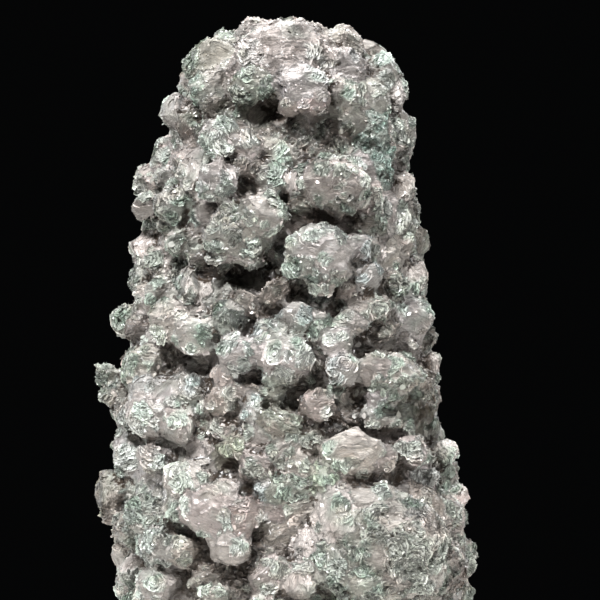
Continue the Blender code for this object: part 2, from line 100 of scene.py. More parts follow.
# What covers a lump: a satiny rind (its flank), and rosettes of mica plates on it (its cap). Colours are sRGB.
# roses gives the share of the lump's outer side that the rosettes cover, and their least and greatest radius.
# rings, books and crumple are heights in millimetres: of the steps in a rosette, of plates seen on edge in the
# rind, and of the crust's crumpling. The second line is the loose plates' count per square millimetre, radii,
# tilt in degrees and share on edge, then the gloss, and the grains per square millimetre.
Skin = namedtuple("Skin", "flank cap roses rings books crumple plates size tilt on_edge gloss grains")
SKINS = {
    # smooth
    "s": Skin((197, 189, 184), (184, 190, 182), (0.35, 1.4, 3.4), 0.30, 0.16, 0.12,
              0.01, (0.4, 0.9), 16, 0.0, 0.7, 0.04),
    # white
    "w": Skin((201, 194, 190), (202, 206, 199), (0.75, 1.6, 4.6), 0.40, 0.16, 0.22,
              0.03, (0.4, 0.9), 24, 0.0, 0.8, 0.08),
    # petals
    "p": Skin((188, 180, 174), (177, 182, 172), (0.85, 1.3, 4.0), 0.45, 0.24, 0.26,
              0.04, (0.4, 1.1), 30, 0.1, 0.7, 0.10),
    # sage
    "g": Skin((181, 179, 171), (177, 184, 174), (1.50, 2.2, 6.0), 0.42, 0.20, 0.58,
              0.04, (0.3, 0.8), 35, 0.2, 0.6, 0.20),
    # teal
    "t": Skin((150, 158, 151), (148, 166, 158), (1.20, 0.9, 1.7), 0.30, 0.00, 0.60,
              0.10, (0.3, 0.6), 40, 0.3, 0.5, 1.50),
    # ragged
    "r": Skin((152, 145, 137), (150, 151, 142), (1.10, 1.0, 2.6), 0.55, 0.28, 0.60,
              0.08, (0.3, 0.9), 42, 0.3, 0.6, 0.30),
    # crown
    "c": Skin((209, 201, 196), (209, 206, 202), (0.45, 2.0, 5.0), 0.30, 0.24, 0.50,
              0.06, (0.3, 0.8), 28, 0.2, 1.0, 0.30),
    # books of plates on edge
    "e": Skin((158, 150, 143), (162, 159, 150), (0.25, 1.2, 2.2), 0.30, 0.60, 0.22,
              0.10, (0.7, 1.5), 12, 1.0, 0.6, 0.06),
    # bluish
    "b": Skin((186, 182, 179), (180, 186, 185), (0.90, 1.8, 4.2), 0.36, 0.14, 0.16,
              0.05, (0.5, 1.2), 20, 0.0, 1.0, 0.05),
    # pink
    "k": Skin((186, 173, 167), (180, 174, 168), (0.45, 1.4, 2.8), 0.32, 0.24, 0.26,
              0.03, (0.4, 1.1), 20, 0.1, 0.7, 0.10),
    # half bare
    "h": Skin((186, 181, 174), (172, 180, 171), (0.60, 1.6, 4.0), 0.28, 0.12, 0.16,
              0.02, (0.4, 1.0), 16, 0.0, 0.6, 0.10),
    # yellowish
    "y": Skin((178, 174, 160), (176, 180, 160), (0.80, 1.2, 3.2), 0.34, 0.14, 0.30,
              0.03, (0.4, 1.0), 16, 0.0, 0.5, 0.10),
    # brown
    "d": Skin((92, 83, 73), (100, 94, 84), (0.30, 1.0, 2.0), 0.30, 0.26, 0.35,
              0.05, (0.4, 1.1), 40, 0.4, 0.3, 0.10),
}
SKIN_OF_DARTS = "ppppggwwrsekbhc"  # slow noise runs along these

# Lumps of the show side: x, height, half-width, half-height, how far its middle stands in front of the prism's
# face, how far it leans in degrees, and its skin.
SHOW_SIDE = """
# crown
-0.7 148.2 12.5 10.5 -0.5 0 c
-2.5 155 6 4.4 0 0 c
-7 154.8 5 5 0 0 c
6 153.2 6.5 4.4 0 0 c
15 152.6 6.4 4.6 0 -10 c
-13.5 151.3 5.5 5.2 0 20 h
-8.2 141.7 5.4 4.6 4.5 0 g
3.7 141.2 7.2 5.4 6 0 c
1.7 136.4 4 3.2 7.5 0 k
7.7 137 4.2 3.6 7 0 k
15 145.7 6 6 0.5 0 c
20.6 149.8 5 4.4 0 -20 h
23.5 145 5 5 0 0 h
27.5 140 3.2 4 -1 0 p
21.7 138.7 5 5 1 0 h
15.7 138.5 4.6 4.2 3 0 p
# left shoulder
-18.5 147.3 6.8 6.4 0 25 h
-22 143 4.5 4.8 0 0 h
-18.7 141.2 5.6 5 1 0 h
-27.5 135.7 3.4 5 0 12 s
-18.2 137.3 3.8 2.4 2 12 e
-23.7 132.5 3.6 3 0.5 30 e
# under the crown
0 130.7 4 3.4 -1 0 r
3.7 127 3.6 2.6 -0.5 0 r
11.2 129.5 5 3.8 0 0 r
16 133.5 4.2 3.6 0 0 g
21 131 4.6 5.6 0.5 0 t
23.5 122.5 4 5 0 0 t
# upper left balls
-15.7 128.5 5.8 5.2 7 0 w
-9.2 126.7 4 3.6 6 0 w
-9.2 121.5 3.6 3.4 4 0 r
-16.2 117.6 5.3 5.2 7 0 w
-27.5 124.2 6 6 1.5 0 s
-23 119 3.6 5 1 0 s
-33.5 118.7 4.4 4.8 -0.5 8 p
-34.5 112.3 3.4 3.4 -0.5 0 p
-27.5 112 5 4.4 3 0 g
-33.5 106.7 2.8 2.4 0 0 p
-26.2 103.2 4 3.8 3 15 p
-21.2 99.2 2.6 2.6 1 0 e
# upper middle
-10 106.7 9.2 7.6 2 0 g
-5.7 109.7 6.4 5.4 6 -15 w
-14.2 104.9 6.2 5.6 5.5 0 g
-8.2 103.2 4.6 4 5 0 g
-15.7 98.9 3.8 2.4 7 0 p
-8.7 98.9 4.2 2.4 8 8 p
-2.5 125 4.6 4 1 -25 h
-3.2 118.7 5 4.4 2 20 g
3.2 116.2 3.2 4.2 3 0 s
3.7 111.7 3.4 2.6 3 0 e
12.5 117 9.2 7.4 5 -20 p
14.2 114 5 4.2 7.5 0 r
6.7 119.2 4.4 3.8 4 0 p
20.7 112.5 4 5 2 20 p
21.2 108.2 3.6 2.8 2 0 r
# middle ball
8.2 100.7 8.8 6.8 6.5 0 w
5 98.2 5.6 5.4 7 0 g
16.7 101.7 5 4 4.5 -5 b
12.5 96.2 5 4 6 0 p
20.7 95 4 3.4 3 15 b
9.2 91.4 3.6 2.4 7 0 p
15.5 91.2 3 2.6 2 0 k
-1.7 90.7 5 2.8 2.5 40 e
-3.7 94.5 2.4 2.4 1 0 b
# left edge
-35 101.2 3.6 4.6 -0.5 0 s
-35.7 93.4 4 4.4 -0.5 0 g
-31.2 90.7 3.8 3.4 1 -15 s
-23.7 92.5 2.8 4.4 3 12 p
-39.6 83.6 3.4 5 -1 -32 g
-36 81.2 4 4 0 0 e
-28.2 83.7 5.8 5.6 4 0 w
-22 79.7 5 4.8 5 0 w
-20 77.4 3.6 2.2 6 15 p
# middle band
-14.2 84.2 4.2 4.4 2 0 g
-14.2 90 3 2.6 1 0 g
-8.7 87.5 5 2.4 2 -50 e
-4.2 82.2 3.8 2.2 3 15 b
3 84.2 4.8 4.4 3.5 0 b
-11.2 75.7 5.8 5.2 4.5 0 w
-5.7 76.2 4.6 4 4 0 w
0 75 7.4 5.8 5.5 0 w
-1.2 70.7 4.8 2.6 4.5 0 g
12.5 78.2 4.6 4 3 0 w
8.5 82 4.2 4 2.5 0 w
16.2 82.5 4.4 4 2.5 0 p
15 87.5 4 2.8 2 0 g
21.2 86.7 5.6 4 2 15 p
25 81.2 5 2.4 1 30 e
# right middle
26.7 70 8 6 4 8 p
21.7 71.7 4.6 4.2 5 0 p
14.2 71.7 4.6 4 4 0 b
31.7 67.5 4.4 5 2 0 r
22.5 64.7 3.6 2.2 4 0 b
20.7 61.2 3.6 1.8 3 10 b
27 60 5 2.2 -0.5 12 d
33 61 3.8 4.4 0 0 d
# centre
8.2 63.2 5.2 4.4 7 0 k
-4.2 66.2 5.4 2.2 2 -10 e
3.7 68.6 4 1.8 1.5 10 e
-23.7 67.2 4.2 3.8 1.5 0 b
-29.2 75.7 2.6 4 0 -20 e
-14.7 70.7 3.2 4.4 2 -20 k
-15.7 64.2 4 3 2.5 20 k
-9.7 66.7 3 3 0 0 s
-8.7 61.2 3 3.6 3 0 b
-1.2 58.7 6 4 3.5 -15 e
-5.7 55.2 3.4 2.2 3 0 p
6.7 55 3.6 3.2 2.5 0 g
-17.5 57.5 3.2 3.4 0.5 0 p
-13.2 57.5 3 3 1 0 p
-13.2 52.5 4 3.6 3 0 y
0 52.5 4.4 3.4 2.5 20 p
-7.5 48.2 4 4 2.5 -30 p
3.7 48.7 4 3 2 0 p
0 42.5 5.4 3.6 2.5 15 g
8.7 45 3.6 4 3 0 y
-5 42.5 3.4 3 1.5 0 b
3.7 38.7 4.6 3 2 0 p
-3.7 36.7 5 2.6 1 0 k
# left bulge
-37.5 73.7 6 3.2 1 18 k
-43.5 69.7 4.2 3.4 -1 20 g
-44 64.7 2.8 2 -1 -20 p
-33.7 65.7 7 4.6 3 0 b
-33.7 60.7 9 6 4 0 w
-26.2 57.5 4.4 4.6 4 0 s
-28.2 65 4 5 3 -30 s
-40 61.2 3.6 4 1 0 g
-37.5 51.2 5.6 6 4 0 w
-32.5 50 4 4 3.5 0 w
-38.5 47.4 3.6 3 5.5 0 g
-43.7 40.7 3.6 6.2 -1 0 e
-42.7 35 3 3 -1 0 e
-41.2 32 2.6 2.4 -1 0 d
# left slab
-23.7 44.2 6.6 5.4 4.5 -20 w
-18.2 37.5 8 6.4 5.5 -35 s
-13.7 28.9 6 5.4 5.5 0 s
-10.7 35.7 4.6 4.6 4.5 0 k
-14.2 42.5 3.6 3.2 3.5 0 s
-33.7 35.7 6.6 5.6 4 0 g
-30.7 28.7 6 5 5.5 0 g
-25 27.5 4.6 4.4 4 0 k
-25.7 37.3 4 4 3.5 0 g
# low left
-39 24.7 3.8 4.8 0.5 0 h
-39.5 17.5 3.4 3.8 0 0 s
-31.2 18.5 6.2 5.4 4 0 s
-20 21 5 2.8 2 15 e
-17.5 16.2 4.6 3.2 2.5 0 p
-37 10 4.6 4.6 1 0 p
-25 9 5.6 4.8 3 0 g
# low middle
0 31.9 6.4 3.4 1 0 e
-3.2 28 5 2.4 1.5 0 e
5 28.7 3.4 4.6 2.5 0 c
-4.2 21.7 5.8 4.4 3 20 p
3.7 20 4.6 5.6 2.5 0 s
-5 14.5 4.6 4 3 0 p
-12 7 5 4.4 2.5 0 g
0 8 5.4 4.6 3 0 p
# right balls
16.7 51.7 8.2 5.8 5.5 0 s
23.7 50 4 4 6 0 p
30.7 51.2 4.5 4.8 5 0 p
36 53.2 2.6 2.4 1.5 0 p
23.7 58.8 5.4 2 2.5 8 p
21.2 45.2 5 1.8 3.5 0 k
# great boss
25 27.5 15 14.5 1.5 0 g
13.2 35.5 6 7.5 4.5 0 s
22 39.2 9 4.6 5 0 h
34.5 38.5 4.4 4.4 1.5 0 k
12.5 23.7 4.8 8 4 12 g
22.5 29.5 7 6 6.5 0 g
31.2 32.7 5.4 5.4 5 0 g
22.5 20 8 7 6.5 0 g
33.2 23.7 6 6.6 4 0 g
14 10 6.2 5.2 3.5 0 g
27 9 6.6 5 3.5 0 g
37 11 4.6 5 1 0 p
# right edge
29.3 130.5 4 5.6 -1 0 s
27 123 3.4 4.2 -1 0 e
28.5 116 3.8 4.6 -1 0 e
30.5 110.5 3.2 3.4 -1 0 p
29 104 5 5.6 0 0 r
33 103.5 2.8 4.6 -1 0 e
32 94.5 3.8 4.6 -1 0 p
27 92.5 3.8 3.8 0.5 0 r
33 86 3.4 4.4 -1 0 e
34.5 79 3.6 3.6 -1 0 r
36.5 73 2.8 3.6 -1 0 p
36 65 2.8 5 -1 0 e
36 57.5 2.8 3 -1 0 p
39.5 51 3 3.6 -1 0 w
40 45.5 3.6 3.6 -1 0 p
42.5 39.5 3.2 3.8 -1 0 k
43 34 3 3 -1 0 p
44.5 24 4.2 5.2 -1 0 p
42.5 28 2.6 4 1 12 w
43.5 15.5 3.4 4 -1 0 p
"""


# Crust that closes gaps between the solid's lumps, in rows like those of the show side.
BRIDGES = (
    (-40.3, 66.8, 3.2, 3.2, -4, 0, "g"),
    (13.0, 43.4, 4.6, 2.6, 2.5, 0, "k"),
    (20.5, 43.6, 4.6, 2.4, 2.5, 0, "k"),
    (5.2, 33.4, 3.0, 3.0, 2.0, 0, "p"),
)


def edges_at(height):
    """The prism's middle and half-width at a height."""
    low = PRISM_EDGES[0]
    for high in PRISM_EDGES[1:]:
        if height <= high[0]:
            break
        low = high
    share = (height - low[0]) / max(high[0] - low[0], 1e-6)
    share = min(max(share, 0.0), 1.0)
    left = low[1] + (high[1] - low[1]) * share
    right = low[2] + (high[2] - low[2]) * share
    return (left + right) / 2, (right - left) / 2


def on_prism(angle, height):
    """The point of the prism at this angle, 0 at +X and anticlockwise from above, and its outward normal."""
    middle, half_width = edges_at(height)
    half_depth = half_width * DEPTH_SHARE
    c, s = math.cos(angle), math.sin(angle)
    reach = (abs(c) ** PRISM_POWER + abs(s) ** PRISM_POWER) ** (-1 / PRISM_POWER)
    x, y = half_width * reach * c, half_depth * reach * s
    steep = PRISM_POWER - 1
    normal = Vector(
        (
            math.copysign(abs(reach * c) ** steep, c) / half_width,
            math.copysign(abs(reach * s) ** steep, s) / half_depth,
            0,
        )
    ).normalized()
    return Vector((middle + x, y, height)), normal


def sunk_at(x, height):
    """How deep the show side is hollowed at a place."""
    total = 0.0
    for middle_x, middle_height, wide, high, deep in HOLLOWS.values():
        away = ((x - middle_x) / wide) ** 2 + ((height - middle_height) / high) ** 2
        total += deep * math.exp(-away)
    return total


def on_show_side(x, height):
    """The point of the show side at this x, and the prism's outward normal there."""
    middle, half_width = edges_at(height)
    across = min(max((x - middle) / half_width, -0.97), 0.97)
    deep = (1 - abs(across) ** PRISM_POWER) ** (1 / PRISM_POWER)
    point, normal = on_prism(math.atan2(-deep, across), height)
    return Vector((x, point.y + sunk_at(x, height), height)), normal


def turned_to(normal, lean):
    """Axes for a lump: across, up and out along the normal, leaning about it."""
    out = normal.normalized()
    across = Vector((0, 0, 1)).cross(out)
    across = across.normalized() if across.length > 1e-3 else Vector((1, 0, 0))
    up = out.cross(across)
    axes = Matrix((across, up, out)).transposed()
    return axes @ Matrix.Rotation(math.radians(lean), 3, "Z")


def lump_of(row):
    """(middle, radii, axes) of a lump that stands on the show side."""
    x, height, wide, high, proud, lean, _ = row
    point, normal = on_show_side(x, height)
    radii = Vector((wide, high, 0.9 * min(wide, high) + 0.1 * max(wide, high)))
    return point - Vector((0, proud, 0)), radii, turned_to(normal, lean)


def show_side_lumps():
    """(middle, radii, axes) of each lump that SHOW_SIDE states, and their skins."""
    rng = random.Random(SEED)
    lumps, skins = [], []
    for line in SHOW_SIDE.splitlines():
        if line and not line.startswith("#"):
            *numbers, skin = line.split()
            row = (*map(float, numbers), skin)
            lump = lump_of(row)
            if not is_inside_the_edges(*row[:2]):
                lump[0].y += rng.uniform(*EDGE_SCATTER)
            lumps.append(lump)
            skins.append(skin)
    return lumps, skins


def is_inside_the_edges(x, height):
    middle, half_width = edges_at(height)
    return abs(x - middle) < EDGE_FROM * half_width


def is_show_side(point):
    return point.y < 0 and is_inside_the_edges(point.x, point.z)


def within_the_edges(point, size):
    """The x that keeps a lump of this size within the outline seen from the front."""
    middle, half_width = edges_at(point.z)
    room = half_width + EDGE_ROOM - size
    return min(max(point.x, middle - room), middle + room)


def dart_lumps(taken, rng):
    """More lumps all round the prism, thrown at random, large ones first, and kept where they have room."""
    made = []
    for radius, darts in DART_PASSES:
        for _ in range(darts):
            height = rng.uniform(6, HIGHEST_DART)
            point, normal = on_prism(rng.uniform(-math.pi, math.pi), height)
            size = radius * rng.uniform(0.85, 1.15)
            if is_show_side(point):
                if size > LARGEST_ON_SHOW_SIDE:
                    continue
                point.y += sunk_at(point.x, height)
            if height > UPWARD_FROM:
                normal = (normal + Vector((0, 0, (height - UPWARD_FROM) / 5))).normalized()
            around = taken + made
            if any((point - m).length < DART_GAP * (size + sum(r) / 3) for m, r, _ in around):
                continue
            sink = SHOW_SIDE_SINK if is_show_side(point) else 0
            middle = point + normal * (rng.uniform(-0.15, 0.45) - sink) * size
            wide, high, deep = rng.uniform(0.85, 1.4), rng.uniform(0.8, 1.1), rng.uniform(0.85, 1)
            radii = Vector((wide, high, deep)) * size
            axes = turned_to(normal, rng.uniform(-40, 40))
            middle.x = within_the_edges(middle, Vector(r * a for r, a in zip(radii, axes[0])).length)
            made.append((middle, radii, axes))
    return made


def foot_lumps(rng):
    """Lumps round the standing face, all at one height, so that they share its plane."""
    middle, _ = edges_at(FOOT_HEIGHT)
    made = []
    for ring, count in FOOT_RINGS:
        for k in range(count):
            angle = 2 * math.pi * (k + rng.uniform(-0.2, 0.2)) / count
            x = middle + ring * math.cos(angle)
            y = ring * math.sin(angle) * DEPTH_SHARE
            radius = FOOT_RADIUS * rng.uniform(0.85, 1.1)
            height = FOOT_HEIGHT + rng.uniform(-0.4, 0.6)
            axes = turned_to(Vector((0.01, 0, -1)), 0)
            made.append((Vector((x, y, height)), Vector((radius, radius, radius)), axes))
    return made


def way_to(turn, tip):
    """A unit vector that leans away from Z by tip and is turned about it, in radians."""
    return Vector((math.sin(tip) * math.cos(turn), math.sin(tip) * math.sin(turn), math.cos(tip)))


def lobed(lump, rng):
    """The lump, and the lobes that break up its outer side if it is large enough."""
    middle, radii, axes = lump
    parts = [lump]
    if min(radii) < LOBES_FROM_RADIUS:
        return parts
    for _ in range(LOBE_COUNT):
        way = way_to(rng.uniform(0, 2 * math.pi), rng.uniform(0.15, 1.35))
        offset = axes @ Vector(w * r for w, r in zip(way, radii)) * rng.uniform(*LOBE_OUT)
        share = rng.uniform(*LOBE_SIZE)
        parts.append((middle + offset, radii * share, axes))
    return parts


def unit_ball(fineness):
    shape = bmesh.new()
    bmesh.ops.create_icosphere(shape, subdivisions=fineness, radius=1)
    points = np.array([v.co[:] for v in shape.verts])
    faces = np.array([[v.index for v in f.verts] for f in shape.faces])
    shape.free()
    return points, faces


def bare_prism():
    """The points and faces of the bare prism: a ball's rings and spokes, moved out to the prism's faces."""
    shape = bmesh.new()
    bmesh.ops.create_uvsphere(shape, u_segments=64, v_segments=48, radius=1)
    bottom, top = PRISM_EDGES[0][0], PRISM_EDGES[-1][0]
    points = []
    for vertex in shape.verts:
        share = math.acos(max(-1.0, min(1.0, -vertex.co.z))) / math.pi
        height = bottom + (top - bottom) * share
        if share < 1e-3 or share > 1 - 1e-3:
            points.append((edges_at(height)[0], 0, height))
        else:
            point = on_prism(math.atan2(vertex.co.y, vertex.co.x), height)[0]
            if is_show_side(point):
                point.y += sunk_at(point.x, height)
            points.append(point[:])
    bmesh.ops.triangulate(shape, faces=shape.faces)
    faces = np.array([[v.index for v in f.verts] for f in shape.faces])
    shape.free()
    return np.array(points), faces


def triangle_mesh(name, points, faces):
    """A mesh of triangles from arrays of points, in millimetres, and of point numbers."""
    mesh = bpy.data.meshes.new(name)
    mesh.vertices.add(len(points))
    mesh.vertices.foreach_set("co", (np.asarray(points, dtype=np.float32) * MM).ravel())
    mesh.loops.add(3 * len(faces))
    mesh.loops.foreach_set("vertex_index", np.asarray(faces, dtype=np.int32).ravel())
    mesh.polygons.add(len(faces))
    mesh.polygons.foreach_set("loop_start", np.arange(0, 3 * len(faces), 3, dtype=np.int32))
    mesh.update(calc_edges=True)
    return mesh


def points_of(mesh):
    """The mesh's points in millimetres."""
    flat = np.empty(3 * len(mesh.vertices), dtype=np.float32)
    mesh.vertices.foreach_get("co", flat)
    return flat.reshape(-1, 3).astype(float) / MM


def triangles_of(mesh):
    mesh.calc_loop_triangles()
    flat = np.empty(3 * len(mesh.loop_triangles), dtype=np.int32)
    mesh.loop_triangles.foreach_get("vertices", flat)
    return flat.reshape(-1, 3)


def lump_arrays(lumps):
    """Middles, radii and axes of the lumps as arrays."""
    middles = np.array([m[:] for m, _, _ in lumps])
    radii = np.array([r[:] for _, r, _ in lumps])
    axes = np.array([[row[:] for row in a] for _, _, a in lumps])
    return middles, radii, axes


def heap_of(lumps, fineness):
    """Points and faces of the bare prism with every lump, grown a little and still overlapping."""
    points, faces = bare_prism()
    ball, ball_faces = unit_ball(fineness)
    balls = [(ball * (radii + GROWN)) @ axes.T + middle for middle, radii, axes in zip(*lump_arrays(lumps))]
    first = len(points) + len(ball) * np.arange(len(lumps))
    ball_faces = ball_faces + first[:, None, None]
    return np.vstack([points, *balls]), np.vstack([faces, ball_faces.reshape(-1, 3)])


def evaluated_mesh(obj):
    graph = bpy.context.evaluated_depsgraph_get()
    return bpy.data.meshes.new_from_object(obj.evaluated_get(graph))


def new_object(name, data):
    obj = bpy.data.objects.new(name, data)
    bpy.context.scene.collection.objects.link(obj)
    return obj


def only(points, faces):
    """The points that the faces use, the faces on those points, and the points' old numbers."""
    used, faces = np.unique(faces, return_inverse=True)
    return points[used], faces.reshape(-1, 3), used


def links_of(faces):
    """The two ends of each side of each face."""
    return np.concatenate([faces[:, [0, 1]], faces[:, [1, 2]], faces[:, [2, 0]]])


def tree_of(points, faces):
    return BVHTree.FromPolygons([Vector(p) for p in points], faces.tolist())


def outer_skin(points, faces):
    """Leaves out the skins of voids shut inside the mass."""
    links = np.concatenate([links_of(faces), links_of(faces)[:, ::-1]])
    links = links[np.argsort(links[:, 0], kind="stable")]
    first = np.searchsorted(links[:, 0], np.arange(len(points) + 1))
    reached = np.zeros(len(points), dtype=bool)
    rim = np.array([np.argmax(points[:, 2])])
    while len(rim):
        reached[rim] = True
        rim = np.unique(np.concatenate([links[first[k] : first[k + 1], 1] for k in rim]))
        rim = rim[~reached[rim]]
    return only(points, faces[reached[faces[:, 0]]])[:2]


def fused(lumps, voxel):
    """Points and faces of the mass that the prism and the lumps make together."""
    mass = new_object("mass", triangle_mesh("mass", *heap_of(lumps, 2)))
    fuse = mass.modifiers.new("fuse", "REMESH")
    fuse.mode = "VOXEL"
    fuse.voxel_size = voxel * MM
    mesh = evaluated_mesh(mass)
    bpy.data.objects.remove(mass)
    return outer_skin(points_of(mesh), triangles_of(mesh))


def unit(rows):
    return rows / np.maximum(np.linalg.norm(rows, axis=1, keepdims=True), 1e-9)


def without(rows, axis):
    """What is left of each row without its part along the axis."""
    return rows - axis * (rows * axis).sum(axis=1, keepdims=True)


def linear(colour):
    """Linear light from sRGB, 0 to 255."""
    c = np.asarray(colour, dtype=float) / 255
    return np.where(c <= 0.04045, c / 12.92, ((c + 0.055) / 1.055) ** 2.4)


def noise_at(points, scale, seed):
    """Smooth noise, about -1 to 1, whose features are about 1 / scale millimetres across."""
    shift = Vector((seed * 17.3, seed * 9.1, seed * 5.7))
    return np.array([noise.noise(Vector(p) * scale + shift) for p in points])


def waves_at(points, waves, start=0):
    """Several noises, each with a scale, a strength and a seed, added to a start."""
    return sum((strength * noise_at(points, scale, seed) for scale, strength, seed in waves), start)


def pushes_at(points, waves):
    """The same in three directions, with seeds of their own."""
    turned = [[(scale, strength, seed + k) for scale, strength, seed in waves] for k in range(3)]
    return np.stack([waves_at(points, w) for w in turned], axis=1)


def creases_at(points, scale, seed):
    """Ridged noise, about -1 to 1, like crumpled foil."""
    shift = Vector((seed * 7.7, seed * 3.1, seed * 9.3))
    ridged = [noise.ridged_multi_fractal(Vector(p) * scale + shift, 0.8, 2.1, 3, 1.0, 1.6) for p in points]
    return np.array(ridged) - 1.2


def normals_of(points, faces):
    corner = points[faces]
    across = np.cross(corner[:, 1] - corner[:, 0], corner[:, 2] - corner[:, 0])
    rows = faces.ravel()
    total = [np.bincount(rows, np.repeat(across[:, k], 3), len(points)) for k in range(3)]
    return unit(np.stack(total, axis=1))


# --- the skins ---
# Noise that bends the borders between lumps, rings, rosettes' edges and plates on edge, and that kneads the
# crust: scale, how far it moves them in millimetres, and seed.
BORDER_WAVES = ((0.45, 1.2, 20),)
RING_WAVES = ((0.32, 1.3, 63), (0.85, 0.7, 64))
CAP_WAVES = ((0.5, 1.1, 61), (1.2, 0.6, 62))
LEAF_WAVES = ((0.16, 1.1, 71), (0.6, 0.35, 72))
KNEADING = ((0.17, 1.3, 1), (0.45, 0.45, 5))
CAP_EDGE = 0.6  # a rosette fades into the rind over this far

# Blotches that cross the lumps: colour, scale, how high the noise must be, strength, seed.
BLOTCHES = (
    ((149, 168, 153), 0.11, 0.08, 0.85, 31),
    ((196, 178, 170), 0.10, 0.08, 0.55, 33),
    ((126, 120, 110), 0.40, 0.30, 0.40, 35),
    ((226, 225, 220), 0.35, 0.30, 0.45, 37),
)
RING_STEP = 0.95  # from one petal's rim to the next
LEAF_STEP = 0.9  # from one plate on edge to the next
EYES = 0.07  # the share of rosettes whose hub shows in their middle
HUB_ASIDE = (0.5, 1.3)  # how far aside the others' hubs lie, as a share of their reach
ROSE_GAP = 0.5  # the least distance between two rosettes, as a share of their reaches together
ROSE_THROWS = 6  # how often each rosette is thrown before it is given up
ROSE_GREEN = (-0.036, 0.008, -0.008)  # how a greener rosette differs in red, green and blue
NODULES_PER_RADIUS = 0.9  # to each millimetre of a lump's radius
NODULE_SIZE = (0.2, 0.36)  # as a share of the lump's radius
NODULE_SUNK = 0.8  # how deep a nodule sits in the lump, as a share of its own radius
OWNER_REACH = 8  # no point is further than this from its own lump


class Cover:
    """Which lump, and so which skin, each point of the mass belongs to."""

    def __init__(self, lumps, skins, rng):
        self.middles, self.radii, self.axes = lump_arrays(lumps)
        self.names = list(SKINS)
        self.skins = np.array([self.names.index(s) for s in skins])
        n = len(lumps)
        long_across = self.radii[:, 0] >= self.radii[:, 1]
        book = np.where(long_across[:, None], self.axes[:, :, 1], self.axes[:, :, 0])
        self.books = unit(book + 0.15 * rng.normal(size=(n, 3)))
        self.tone = rng.normal(1, 0.05, (n, 1)) * (1 + rng.normal(0, 0.012, (n, 3)))
        self.strew_roses(rng)

    def strew_roses(self, rng):
        """Throws the rosettes of mica plates over the outer side of each lump."""
        roses = []
        for k, (middle, radii, turned) in enumerate(zip(self.middles, self.radii, self.axes)):
            share, least, most = SKINS[self.names[self.skins[k]]].roses
            wanted = share * 2 * (radii.mean() / ((least + most) / 2)) ** 2
            wanted = int(wanted) + (rng.random() < wanted % 1)
            mine = []
            for _ in range(ROSE_THROWS * wanted):
                way = rng.normal(size=3)
                way[2] = abs(way[2]) + 0.15  # towards the outer side
                way = unit(way[None])[0]
                reach = rng.uniform(least, most)
                place = middle + turned @ (way * radii)
                out = unit((turned @ (way / radii))[None])[0]
                if all(np.linalg.norm(place - other) > ROSE_GAP * (reach + size) for other, size in mine):
                    mine.append((place, reach))
                    aside = unit(np.cross(out, rng.normal(size=3))[None])[0]
                    hub = aside * reach * rng.uniform(*HUB_ASIDE) * (rng.random() > EYES)
                    roses.append((place, out, hub, k, reach))
                if len(mine) == wanted:
                    break
        places, self.rose_axis, hubs, self.rose_lump, self.rose_reach = map(np.array, zip(*roses))
        self.rose_at = places + kneaded(places)
        self.rose_hub = self.rose_at + hubs
        n = len(roses)
        green = rng.normal(0.3, 0.7, (n, 1)) * np.array(ROSE_GREEN)
        self.rose_tone = rng.normal(1, 0.10, (n, 1)) * (1 + green)
        self.rose_tree = KDTree(n)
        for k, place in enumerate(self.rose_at):
            self.rose_tree.insert(place, k)
        self.rose_tree.balance()

    def owners(self, points):
        """The number of the lump each point is nearest to, with ragged borders between lumps."""
        shaken = points + pushes_at(points, BORDER_WAVES)
        order = np.argsort(shaken[:, 2])
        shaken = shaken[order]
        best = np.full(len(points), np.inf)
        owner = np.zeros(len(points), dtype=int)
        for k in range(len(self.middles)):
            reach = self.radii[k].max() + OWNER_REACH
            height = self.middles[k, 2]
            low, high = np.searchsorted(shaken[:, 2], (height - reach, height + reach))
            local = (shaken[low:high] - self.middles[k]) @ self.axes[k] / self.radii[k]
            away = (np.sqrt((local**2).sum(axis=1)) - 1) * self.radii[k].mean()
            nearer = away < best[low:high]
            best[low:high][nearer] = away[nearer]
            owner[low:high][nearer] = k
        found = np.empty(len(points), dtype=int)
        found[order] = owner
        return found

    def numbers(self, owner, field, part=0):
        """A number of each owner's skin, such as its plates per square millimetre."""
        table = np.array([np.ravel(getattr(SKINS[n], field))[part] for n in self.names])
        return table[self.skins[owner]]

    def colours(self, owner, field):
        """A colour of each owner's skin, in the lump's own tone."""
        table = np.array([linear(getattr(SKINS[n], field)) for n in self.names])
        return table[self.skins[owner]] * self.tone[owner]

    def roses(self, points):
        """The number of the rosette that each point is nearest to."""
        return np.array([self.rose_tree.find(p)[1] for p in points])

    def rings(self, points, rose):
        """How many petals' rims each point is from the hub of its rosette."""
        away = np.linalg.norm(points - self.rose_hub[rose], axis=1)
        return waves_at(points, RING_WAVES, away) / RING_STEP

    def caps(self, points, owner, rose):
        """How much each point is in a rosette on its own lump, 0 to 1."""
        away = np.linalg.norm(points - self.rose_at[rose], axis=1)
        inside = (self.rose_reach[rose] - away + waves_at(points, CAP_WAVES)) / CAP_EDGE
        return np.clip(inside, 0, 1) * (self.rose_lump[rose] == owner)

    def leaves(self, points, owner):
        """How many plates each point is along the books of plates that a flank shows on edge."""
        run = (points * self.books[owner]).sum(axis=1)
        return waves_at(points, LEAF_WAVES, run) / LEAF_STEP


def skins_of_darts(lumps, rng):
    """A skin for each lump thrown at random: alike where they are near, different further off."""
    skins = []
    for middle, _, _ in lumps:
        wave = noise.noise(middle * 0.05) + rng.uniform(-0.35, 0.35)
        place = min(max((wave + 0.7) / 1.4, 0), 0.999)
        skins.append(SKIN_OF_DARTS[int(place * len(SKIN_OF_DARTS))])
    return skins


